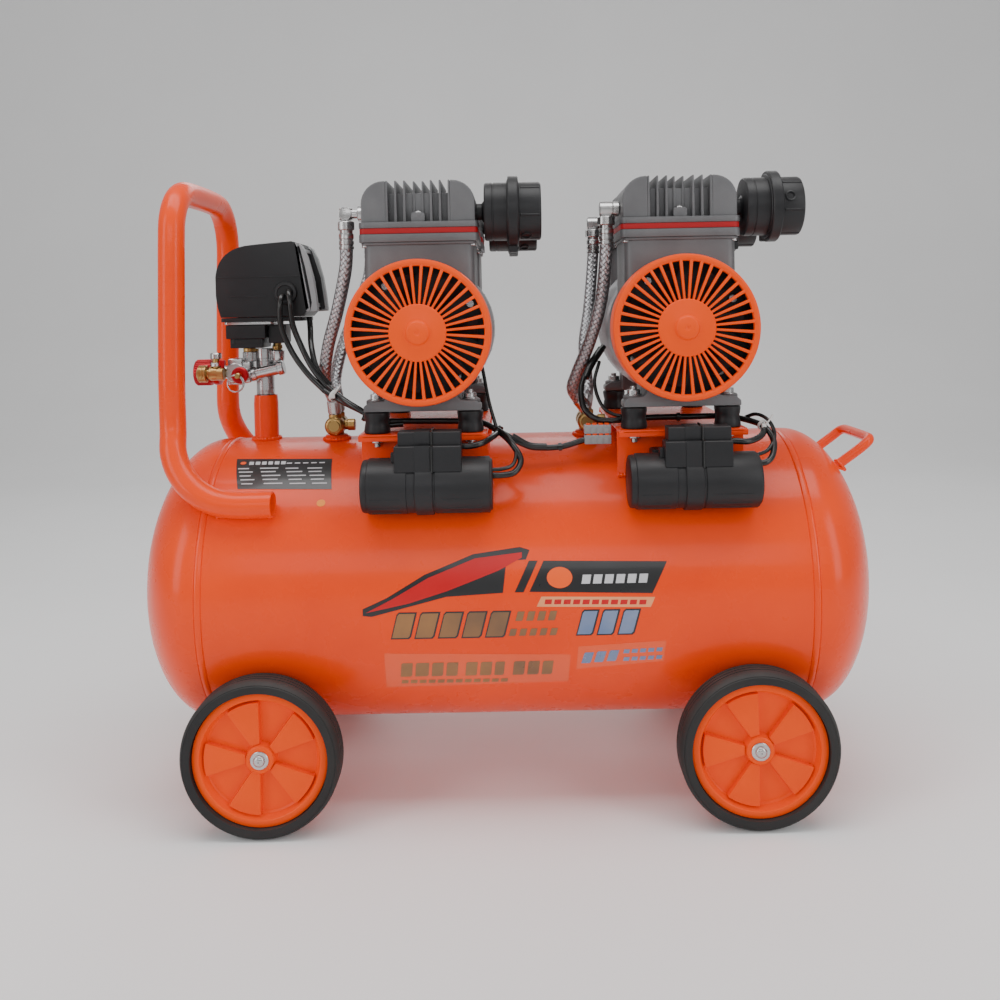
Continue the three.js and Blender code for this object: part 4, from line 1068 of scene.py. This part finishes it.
def make_riser():
    steel = Piece("riser_pipework", "frame", "zinc_steel", "riser_manifold")
    pipe = [(0, SOCKET_TOP - 6), (9.2, SOCKET_TOP - 6), (9.2, 437), (10.3, 437.6), (10.3, 476),
            (9.6, 476.6), (9.6, 479), (10.3, 479.6), (10.3, 491), (0, 491.4)]
    steel.turned((RISER_X, 0, 0), (0, 0, 1), pipe, 40)
    for i in range(4):
        z = 437.8 + i * 1.5
        steel.ring((RISER_X, 0, z), (0, 0, 1), 10.1, 0.45, 40, 6)
    steel.box(-317, -300, -23, 8.4, 450, 480.4, 2.4, 3)
    steel.box(-306, -291.4, -20, 6, 452, 477, 3, 3)
    steel.bar((-308.5, -24, PIPE_Z), (-308.5, -10, PIPE_Z), 11.6, chamfer=1.2)
    steel.hexagon((-318.4, 0, PIPE_Z), (-310, 0, PIPE_Z), 12.5)
    steel.bar((-297, -12, PIPE_Z - 4), (-255, -12, PIPE_Z + 5), 7, chamfer=2)
    steel.bar((-262, -12, PIPE_Z + 3.6), (-254.6, -12, PIPE_Z + 5.2), 8.4, chamfer=1.2)
    steel.hexagon((-292, -12, PIPE_Z - 3), (-286, -12, PIPE_Z - 1.7), 9)
    steel.bar((-316, 0, PIPE_Z), (-330.2, 0, PIPE_Z), 7.8)
    steel.hexagon((SAFETY_X, -22.6, PORT_Z), (SAFETY_X, -29, PORT_Z), 9.2)
    steel.bar((SAFETY_X, -28.6, PORT_Z), (SAFETY_X, -33.2, PORT_Z), 7)
    steel.turned((*STUD, PORT_Z), (0, 0, 1),
                 [(0, 14), (6.8, 14), (7.6, 15), (7.6, 25), (6.8, 26), (0, 26)], 32)
    for i in range(24):
        a = TAU * i / 24
        px, py = STUD[0] + 7.5 * math.cos(a), STUD[1] + 7.5 * math.sin(a)
        steel.bar((px, py, 477.2), (px, py, 486.8), 0.55, sides=6, chamfer=0.2)
    steel.turned((*NIPPLE, PORT_Z), (0, 0, 1),
                 [(0, 4), (5, 4), (7.6, 15), (8.2, 16), (8.2, 26), (7, 27.4), (0, 27.4)], 32)
    steel.done()
    brass = Piece("riser_nipples", "frame", "brass")
    brass.hexagon((*STUD, 487.6), (*STUD, 491.8), 8.2, 0.5)
    brass.bar((*NIPPLE, 488.6), (*NIPPLE, 497), 4.8)
    brass.hexagon((*NIPPLE, 490.4), (*NIPPLE, 494.4), 6.6, 0.5)
    brass.done()


def make_regulator():
    knob = Piece("regulator_knob_looks", "regulator", "red_plastic", "regulator_knob")
    profile = [(0, 0), (13, 0), (14.6, 0.8), (14.9, 2), (14.9, 6.6), (13.4, 7.4), (13.4, 9.4),
               (14.7, 10.2), (14.7, 27.4), (14.2, 28.8), (12.6, 29.6), (9.4, 29.6), (8.6, 28.4),
               (0, 28.2)]
    knob.turned((-330.8, 0, PIPE_Z), (-1, 0, 0), profile, 60)
    for i in range(30):
        a = TAU * i / 30
        py, pz = 14.5 * math.cos(a), PIPE_Z + 14.5 * math.sin(a)
        knob.bar((-342, py, pz), (-358.4, py, pz), 0.85, sides=8, chamfer=0.3)
    knob.done()


def make_outlet():
    y = OUTLET_Y
    brass = Piece("outlet_cock_looks", "frame", "brass", "outlet_cock")
    brass.hexagon((-335.8, y, PIPE_Z), (-331, y, PIPE_Z), 8.4)
    brass.bar((-334, y, PIPE_Z), (-326, y, PIPE_Z), 7.8)
    brass.hexagon((-327, y, PIPE_Z), (-319.2, y, PIPE_Z), 8.6)
    tip = [(0, 0.6), (4.4, 0.6), (4.8, 0), (5.4, 0), (6, 0.6), (6, 2), (5.2, 2.8), (5.2, 10), (6, 11),
           (6, 14), (0, 14)]
    brass.turned((-350, y, PIPE_Z), (1, 0, 0), tip, 36)
    brass.bar((STEM_X, y, PIPE_Z + 3), (STEM_X, y, PIPE_Z + 18), 4)
    brass.done()
    cap = Piece("outlet_cock_cap", "frame", "zinc_steel")
    cap.turned((STEM_X, y, PIPE_Z), (0, 0, 1),
               [(0, 17), (5.8, 17), (6.4, 17.6), (6.4, 22.4), (5.4, 23.8), (0, 24)], 32)
    cap.hexagon((STEM_X, y, PIPE_Z + 8.2), (STEM_X, y, PIPE_Z + 12.6), 6.6, 0.5)
    cap.done()
    red = Piece("outlet_cock_mark", "frame", "red_plastic")
    red.box(-324, -317.5, -33.5, -27, PIPE_Z + 9, PIPE_Z + 15.5, 1.2, 3)
    red.bar((-320.8, -30, PIPE_Z + 6), (-320.8, -30, PIPE_Z + 9.4), 2.2)
    red.done()
    sleeve = Piece("coupler_sleeve_looks", "sleeve", "brass", "coupler_sleeve")
    ribs = [(6.7, 0), (9, 0), (9.8, 0.7)]
    for k in range(4):
        ribs += [(9.8, 1.4 + k * 1.7), (9.2, 1.7 + k * 1.7), (9.2, 2.5 + k * 1.7), (9.8, 2.8 + k * 1.7)]
    ribs += [(9.8, 8.8), (9, 9.5), (6.7, 9.5)]
    sleeve.turned((-348, y, PIPE_Z), (1, 0, 0), ribs, 40, closed=True)
    sleeve.done()


def make_safety_valve():
    disc = Piece("safety_valve_disc", "safety", "red_plastic", "safety_pull")
    disc.turned((SAFETY_X, -33.8, PORT_Z), (0, -1, 0),
                [(0, 0), (8.6, 0), (9.5, 0.8), (9.5, 5.2), (8.4, 6.2), (5, 6.2), (4.4, 5.6), (0, 5.4)],
                40)
    disc.done()
    pin = Piece("safety_valve_pin", "safety", "brass")
    pin.bar((SAFETY_X, -39, PORT_Z), (SAFETY_X, -46, PORT_Z), 2.6)
    pin.bar((SAFETY_X, -45.5, PORT_Z), (SAFETY_X, -49, PORT_Z), 3.3, chamfer=0.8)
    pin.done()
    ring = Piece("safety_valve_ring", "safety", "zinc_steel")
    ring.ring((-302, -45, 453.5), (0, 1, 0), 9.5, 0.75, 48, 10)
    ring.ring((-302.4, -45.9, 453.2), (0.1, 1, 0), 9.2, 0.7, 48, 10)
    ring.done()


def make_switch():
    block = Piece("switch_blocks", "frame", "black_plastic", "diaphragm_housing")
    block.box(-317.2, -271.8, -26.6, 19.6, 503, 519, 1.6, 3)
    upright(block, rounded(-321, -228, -33, 33, 4), 522.4, 527.1, 0.5)
    block.box(-313.5, -275.5, -23, 16, 492.2, 503.6, 1.6, 3)
    for x in (-309, -280):
        for y in (-20, 13):
            block.bar((x, y, 497), (x, y, 503.6), 3.6)
    block.done()
    unloader = Piece("unloader_looks", "frame", "black_plastic", "unloader_valve")
    unloader.box(-270.6, -250.3, -17.6, 9.6, 497.2, 518.8, 1.8, 3)
    unloader.bar((-255.4, -17.8, 508), (-255.4, -14, 508), 4)
    unloader.done()
    base = Piece("switch_base_looks", "frame", "zinc_steel", "switch_base")
    upright(base, rounded(-318, -262, -30, 30, 4), 519.4, 522.6, 0.5)
    base.box(-305, -250, -20, 20, 523.4, 575, 1)
    base.done()


def hood_outline(inset=0.0):
    points = [(-320 + inset, 527.6 + inset), (-323.4 + inset, 540), (-325 + inset, 552),
              (-325 + inset, 574)]
    for i in range(1, 11):
        t = i / 10
        points.append(((1 - t) ** 2 * -325 + 2 * t * (1 - t) * -321 + t * t * -284 + inset * (1 - t),
                       (1 - t) ** 2 * 574 + 2 * t * (1 - t) * 606.5 + t * t * 609.5 - inset * t))
    points += [(-262, 611.4 - inset), (-238, 613 - inset), (-232.4 - inset, 611.4 - inset),
               (-230.4 - inset, 607 - inset)]
    points += [(-219.2 - inset, 536 + inset), (-224 - inset, 531 + inset),
               (-227.5 - inset, 527.6 + inset)]
    return points


HOOD_HALF = 35
SLOPE_FOOT, SLOPE_TOP = Vector((-219.2, 0, 536)), Vector((-230.4, 0, 607))


# Two pale strips stand on the slope, with a dark groove between them.
BEZEL_STRIPS = (
    [(-235, 611.2), (-231.5, 611.2), (-226, 583), (-221.2, 556), (-218.6, 541), (-218.4, 533),
     (-223.4, 533)],
    [(-229.5, 610.4), (-225.5, 607), (-220, 595), (-214.3, 573), (-211.3, 553), (-209.4, 534.6),
     (-210.4, 533.4),
     (-218.2, 533), (-216.2, 543), (-218.2, 557), (-222.8, 583), (-227.6, 603)])
BEZEL_BACKING = [(-232, 609), (-227, 605), (-217, 573), (-212.4, 536), (-222, 535)]


def slope_plate(piece, span_y, span_up, back, front, bevel):
    """A plate on the hood's sloping end, between two shares of the slope's height."""
    p, q = (SLOPE_FOOT.lerp(SLOPE_TOP, share) for share in span_up)
    corners = [(end.x + offset, y, end.z) for y in span_y for end,
               offset in ((p, back), (p, front), (q, front), (q, back))]
    faces = [(0, 1, 2, 3), (7, 6, 5, 4), (0, 4, 5, 1), (1, 5, 6, 2), (2, 6, 7, 3), (3, 7, 4, 0)]
    piece.take(corners, faces, bevel)


def make_hood():
    hood = Piece("switch_hood_looks", "frame", "black_plastic", "switch_hood")
    outline, inner = hood_outline(), hood_outline(2.4)
    n = len(outline)
    for side in (-1, 1):
        hood.prism(outline, *sorted((side * HOOD_HALF, side * (HOOD_HALF - 2.5))), 1.6, 3, 30)
    # Walls go round the outline; the bottom stays open over the base, and the slope is plated below.
    verts = [(x, y, z) for points in (outline, inner) for y in (1 - HOOD_HALF, HOOD_HALF - 1) for x,
             z in points]
    faces = []
    for i in range(n - 1):
        if i != n - 4:
            faces += [(i, i + 1, n + i + 1, n + i), (2 * n + i, 3 * n + i, 3 * n + i + 1, 2 * n + i + 1)]
    hood.take(verts, faces)
    for span_y, span_up in (((-HOOD_HALF, -6.5), (0, 1)), ((6.5, HOOD_HALF), (0, 1)),
                            ((-7, 7), (0, 0.32)), ((-7, 7), (0.72, 1))):
        slope_plate(hood, span_y, span_up, -2.4, 0, 0.4)
    gland = [(13, 0), (13, 3), (12.2, 5), (9.4, 5.6), (8.6, 5), (5.6, 4.6), (0, 4.4)]
    hood.turned((-245, 0.6 - HOOD_HALF, 554), (0, -1, 0), gland, 40)
    for z, x0, x1 in ((572.4, -324, -228), (550.6, -309, -267)):
        hood.box(x0, x1, -HOOD_HALF - 0.5, -HOOD_HALF + 0.6, z, z + 1.2, 0.3)
    hood.done(28)
    bezel = Piece("switch_hood_bezel", "frame", "grey_plastic")
    backing = Piece("switch_hood_bezel_backing", "frame", "black_plastic")
    for side in (-1, 1):
        for strip in BEZEL_STRIPS:
            bezel.prism(strip, *sorted((side * HOOD_HALF, side * 26)), 0.7, 3)
        backing.prism(BEZEL_BACKING, *sorted((side * 30, side * 25)), 0.5)
    for share in (0.03, 0.92):
        slope_plate(bezel, (-27, 27), (share, share + 0.06), -1, 1.6, 0.5)
    bezel.done()
    backing.done()
    lever = Piece("on_off_lever_looks", "lever", "black_plastic", "on_off_lever")
    lever.box(-235.6, -222, -3, 3, 563.4, 568.6, 1.2, 3)
    lever.box(-226, -218.2, -3.5, 3.5, 563, 569, 1.8, 3)
    lever.done()


def make_drain():
    cock = Piece("drain_cock_looks", "frame", "brass", "drain_cock", at=(DRAIN_X, 0, 0))
    cock.hexagon((0, 0, 50), (0, 0, 60), 8)
    cock.bar((0, 0, 59.6), (0, 0, 68.4), 7)
    cock.bar((0, 0, 46), (0, 0, 50.4), 6.6)
    cock.bar((0, 0, 40), (0, 0, 46.4), 4)
    cock.done()
    knob = Piece("drain_knob_looks", "drain", "brass", "drain_knob", at=(DRAIN_X, 0, 0))
    knob.turned((0, 0, 0), (0, 0, 1), [(0, 32), (6.2, 32), (7, 32.8), (7, 38.8), (6.2, 39.5), (0, 39.5)],
                32)
    for side in (-1, 1):
        wing = [(side * 5, 30.4), (side * 13, 30), (side * 14, 31.4), (side * 14, 35.4),
                (side * 12.6, 37), (side * 5, 36)]
        knob.prism(wing, -1.8, 1.8, 0.8)
    knob.done()


make_riser()
make_regulator()
make_outlet()
make_safety_valve()
make_switch()
make_hood()
make_drain()


# ------------------------------------------------------------------ wiring
CABLE_R = 3.3
KNOT = (-199, -62, 445)
LEADS = {
    "gland_lead": [(-248, -41, 551), (-248, -46.5, 550), (-248.5, -51, 542), (-248, -51, 518),
                   (-237, -50, 489),
                   (-219, -55, 464), KNOT],
    "second_gland_lead": [(-241, -40, 556), (-240, -45, 553), (-238, -48, 543), (-236, -47, 520),
                          (-226, -48, 493),
                          (-212, -55, 468), (-196, -60, 449)],
    "hood_lead": [(-223.5, -14, 526), (-222, -18, 514), (-217, -38, 492), (-208, -52, 467),
                  (-193, -57, 449)],
    "left_trunk": [KNOT, (-178, -75, 434), (-156, -83, 424), (-138, -81, 413.5), (-100, -78, 411),
                   (-60, -76, 410),
                   (-25, -82, 408.5), (-6, -93, 400), (27, -92, 383), (60, -87, 381), (88, -85, 388),
                   (101, -85, 389)],
    "second_trunk": [(-196, -60, 449), (-172, -80, 434), (-150, -87, 421), (-136, -85, 409),
                     (-110, -82, 408.5)],
    "left_capacitor_lead": [(-6, -93, 400), (8, -116, 389), (17, -126, 373), (10, -135, 362),
                            (-3, -139, 360),
                            (-13, -139, 360)],
    "left_relay_lead": [(-6, -93, 400), (-12, -116, 397), (-23, -134, 393), (-35, -139, 391),
                        (-45, -139, 391)],
    "right_motor_lead": [(114, -31, 487), (98, -45, 467), (86, -60, 444), (88, -74, 420), (102, -79, 409),
                         (124, -80, 408), (160, -78, 410), (200, -77, 410), (240, -79, 410),
                         (262, -94, 407),
                         (276, -112, 401), (282, -123, 388), (277, -134, 373), (269, -139, 368),
                         (260, -139, 368)],
    "right_relay_lead": [(276, -112, 401), (268, -126, 394), (252, -137, 390), (239, -139, 391),
                         (229, -139, 391)],
}
THIN_LEADS = {
    "left_brown_lead": [(-32, -60, 497), (-24, -66, 470), (-16, -84, 430), (-8, -93, 402)],
    "left_return_loop": [(-8, -96, 404), (4, -110, 396), (12, -122, 381), (8, -131, 369), (-4, -137, 366),
                         (-13, -139, 366)],
    "right_inner_lead": [(108, -40, 470), (101, -56, 446), (110, -68, 420), (126, -74, 412),
                         (146, -74, 414)],
    "right_return_loop": [(258, -86, 408), (270, -100, 414), (280, -112, 408), (284, -120, 394),
                          (274, -131, 380),
                          (260, -139, 376)],
}


def make_wiring():
    harness = Piece("cable_leads", "frame", "cable_black", "cable_harness")
    for points in LEADS.values():
        harness.tube(points, CABLE_R, 16, 3)
    for points in THIN_LEADS.values():
        harness.tube(points, 2.0, 12, 3)
    harness.tube([(111, -33, 484), (104, -39, 475), (97, -46, 465), (91, -54, 453)], 4.3, 20, 3)
    harness.tube([(8, -93, 394), (27, -92, 383.4), (45, -90, 381.4)], 4.1, 20, 3)
    harness.done()

    ties = Piece("cable_ties", "frame", "white_plastic")
    for centre, axis, radius in (((-187, -68, 440), (0.8, -0.45, -0.5), 7.2),
                                 ((274, -108, 403), (0.3, -0.6, -0.3), 5.4)):
        ties.turned(centre, axis, [(radius - 0.9, -1.6), (radius, -1.6), (radius, 1.6),
                                   (radius - 0.9, 1.6)], 32, closed=True)
        cx, cy, cz = centre
        ties.box(cx - 2.4, cx + 2.4, cy - radius - 3.4, cy - radius + 0.6, cz - 2.6, cz + 2.6, 0.6)
        ties.tube([(cx, cy - radius - 2, cz), (cx + 5, cy - radius - 4, cz + 6),
                   (cx + 9, cy - radius - 3, cz + 12)], 0.9, 8)
    ties.done()
    black_ties = Piece("black_cable_ties", "frame", "cable_black")
    for centre, axis, radius in (((-6, -93, 401), (0.6, -0.4, -0.4), 5.4),
                                 ((-150, -85, 419), (1, -0.1, -0.6), 7),
                                 ((190, -77, 410), (1, 0, 0), 4.6), ((60, -87, 381), (1, 0.1, 0.1), 4.4)):
        black_ties.turned(centre, axis, [(radius - 1, -1.7), (radius, -1.7), (radius, 1.7),
                                         (radius - 1, 1.7)], 28, closed=True)
        cx, cy, cz = centre
        black_ties.box(cx - 2.4, cx + 2.4, cy - radius - 2.4, cy - radius + 0.6, cz - 2.4, cz + 2.4, 0.5)
    black_ties.done()

    clips = Piece("wire_connectors", "frame", "grey_plastic")
    levers = Piece("wire_connector_levers", "frame", "orange_plastic")
    for x, y, z in ((101, -85, 389), (101, -84, 400)):
        clips.box(x - 14.6, x + 14.6, y - 4.9, y + 4.9, z - 5.6, z + 4.2, 1.2, 3)
        for dx in (-10, -3.4, 3.4, 10):
            levers.box(x + dx - 2.4, x + dx + 2.4, y - 4.4, y + 3, z + 4, z + 5.8, 0.7)
            clips.box(x + dx - 2.2, x + dx + 2.2, y - 5.4, y - 4.6, z - 4, z + 1, 0.3)
    clips.done()
    levers.done()


# ------------------------------------------------------------------ printed film
def printed(name, slot, look, shapes, lift):
    """Flat shapes in XZ laid onto the receiver's front, following its curve."""
    piece = Piece(name, "frame", slot, look=look)
    for outline in shapes:
        flat = bmesh.new()
        flat.faces.new([flat.verts.new((x, 0, z)) for x, z in outline])
        zs = [z for _, z in outline]
        level = math.floor(min(zs) / 3) * 3 + 3
        while level < max(zs):
            bmesh.ops.bisect_plane(flat, geom=[*flat.verts, *flat.edges, *flat.faces],
                                   plane_co=(0, 0, level), plane_no=(0, 0, 1))
            level += 3
        bmesh.ops.triangulate(flat, faces=flat.faces)
        flat.verts.index_update()
        verts = [on_tank(v.co.x, v.co.z, lift) for v in flat.verts]
        piece.take(verts, [tuple(v.index for v in f.verts) for f in flat.faces])
        flat.free()
    piece.done(60)


def slanted(x0, x1, z0, z1, lean=0.27, cut=0.0):
    """A leaning block; `cut` takes off two opposite corners."""
    shift = (z1 - z0) * lean
    return [(x0, z0), (x1 - cut, z0), (x1, z0 + cut), (x1 + shift, z1), (x0 + shift + cut, z1),
            (x0 + shift, z1 - cut)]


def dot(x, z, rx, rz, steps=28):
    return [(x + rx * math.cos(TAU * i / steps), z + rz * math.sin(TAU * i / steps))
            for i in range(steps)]


def make_prints():
    printed("front_stripe_edge", "label_black", "label_black",
            [[(-147, 222), (-138, 221), (-62, 240), (-4, 243), (0, 274), (20, 275), (24, 284), (14, 287),
              (-34, 281), (-84, 262), (-122, 240), (-147, 229)]], 0.18)
    printed("front_stripe", "red_plastic", "red_print",
            [[(-144, 225), (-100, 234), (-60, 246), (-8, 265), (16, 277), (16, 282), (-32, 277),
              (-80, 259), (-118, 238)]], 0.3)
    printed("front_bar", "label_black", "label_black",
            [[(23, 243.5), (148, 240), (164, 271), (38, 273.6)],
             [(8, 243.3), (17, 243.2), (32, 273.7), (23, 273.8)]], 0.2)
    printed("front_bar_dot", "orange_plastic", "orange_print", [dot(54, 257, 13, 10.4)], 0.32)
    blocks = [slanted(76 + k * 11.6, 84.6 + k * 11.6, 250.6, 259.4, 0.2) for k in range(6)]
    printed("front_bar_blocks", "white_plastic", "pale_print", blocks, 0.32)
    printed("front_strip", "white_plastic", "salmon_print",
            [[(30, 228.4), (146, 226), (150.6, 236.2), (35, 238.6)]], 0.2)
    printed("front_strip_marks", "red_plastic", "red_print",
            [slanted(38 + k * 9.6, 45 + k * 9.6, 230.8 - k * 0.2, 235.6 - k * 0.2, 0.2)
             for k in range(11)], 0.3)
    big = [slanted(-118 + k * 24, -100 + k * 24, 198, 223.5, 0.24, 2) for k in range(5)]
    small = [slanted(8 + k * 11, 15.6 + k * 11, 214, 224, 0.24, 1) for k in range(4)]
    small += [slanted(1 + k * 10.4, 8 + k * 10.4, 198, 206, 0.24, 1) for k in range(5)]
    printed("front_blocks_edge", "label_black", "label_black",
            [slanted(x0 - 1.5, x1 + 1.5, z0 - 1.5, z1 + 1.5, 0.24, 2.4) for x0, x1, z0,
             z1 in [(-118 + k * 24, -100 + k * 24, 198, 223.5) for k in range(5)]], 0.16)
    printed("front_blocks", "label_black", "bronze_print", [*big, *small], 0.3)
    blue = [slanted(71 + k * 21, 86 + k * 21, 198.5, 223, 0.24, 2) for k in range(3)]
    printed("front_volume_edge", "label_black", "label_black",
            [slanted(69.4 + k * 21, 87.6 + k * 21, 197, 224.6, 0.24, 2.4) for k in range(3)], 0.16)
    printed("front_volume_blocks", "label_black", "blue_print", blue, 0.3)
    printed("front_lower_film", "orange_paint", "clear_film",
            [[(-128, 138), (62, 142), (64, 176), (-127, 181)],
             [(70, 158), (160, 166), (162, 190), (72, 185)]], 0.12)
    lower = [slanted(x, x + w, 152, 169, 0.1, 1.6) for x,
             w in ((-112, 12), (-97, 14), (-80, 12), (-65, 12), (-45, 12), (-30, 12), (-15, 10), (4, 12),
                   (19, 12), (34, 11))]
    lower += [slanted(-112 + k * 9.4, -105 + k * 9.4, 143, 147.6, 0.2) for k in range(12)]
    printed("front_lower_blocks", "label_black", "bronze_print", lower, 0.28)
    printed("front_flow_blocks", "label_black", "blue_print",
            [slanted(75 + k * 13, 85 + k * 13, 165 + k, 178 + k, 0.24, 1.4) for k in range(3)]
            + [slanted(118 + k * 8.4, 124 + k * 8.4, z + k * 0.4, z + 4.6 + k * 0.4, 0.2)
               for z in (167, 176) for k in range(5)], 0.28)
    printed("rating_plate", "label_black", "label_black",
            [[(-286, 344.9), (-185, 343.2), (-191, 369.9), (-297, 371.2)]], 0.3)
    rows = []
    for k, z in enumerate((362.4, 359.4, 356, 352.6, 349)):
        start = -291.5 + k * 2.1
        rows += [slanted(start, start + 12 + 3 * (k % 2), z, z + 0.9, -0.2),
                 slanted(start + 24, start + 44 - 4 * (k % 2), z, z + 0.9, -0.2),
                 slanted(start + 52, start + 66 + 3 * (k % 3), z - 0.4, z + 0.5, -0.2),
                 slanted(start + 76, start + 92 - 2 * (k % 2), z - 0.6, z + 0.3, -0.2)]
    rows += [slanted(-281 + k * 7, -276 + k * 7, 366, 368.6, -0.2) for k in range(6)]
    rows += [slanted(-240 + k * 9, -234 + k * 9, 366.4, 367.3, -0.2) for k in range(5)]
    printed("rating_plate_lines", "white_plastic", "pale_print", rows, 0.42)
    printed("rating_plate_dot", "orange_plastic", "orange_print", [dot(-288, 367.6, 3.2, 1.2, 16)], 0.42)
    printed("inspection_dot", "orange_plastic", "amber_print", [dot(-194.5, 330.9, 4.6, 3.2, 24)], 0.25)


make_wiring()
make_prints()
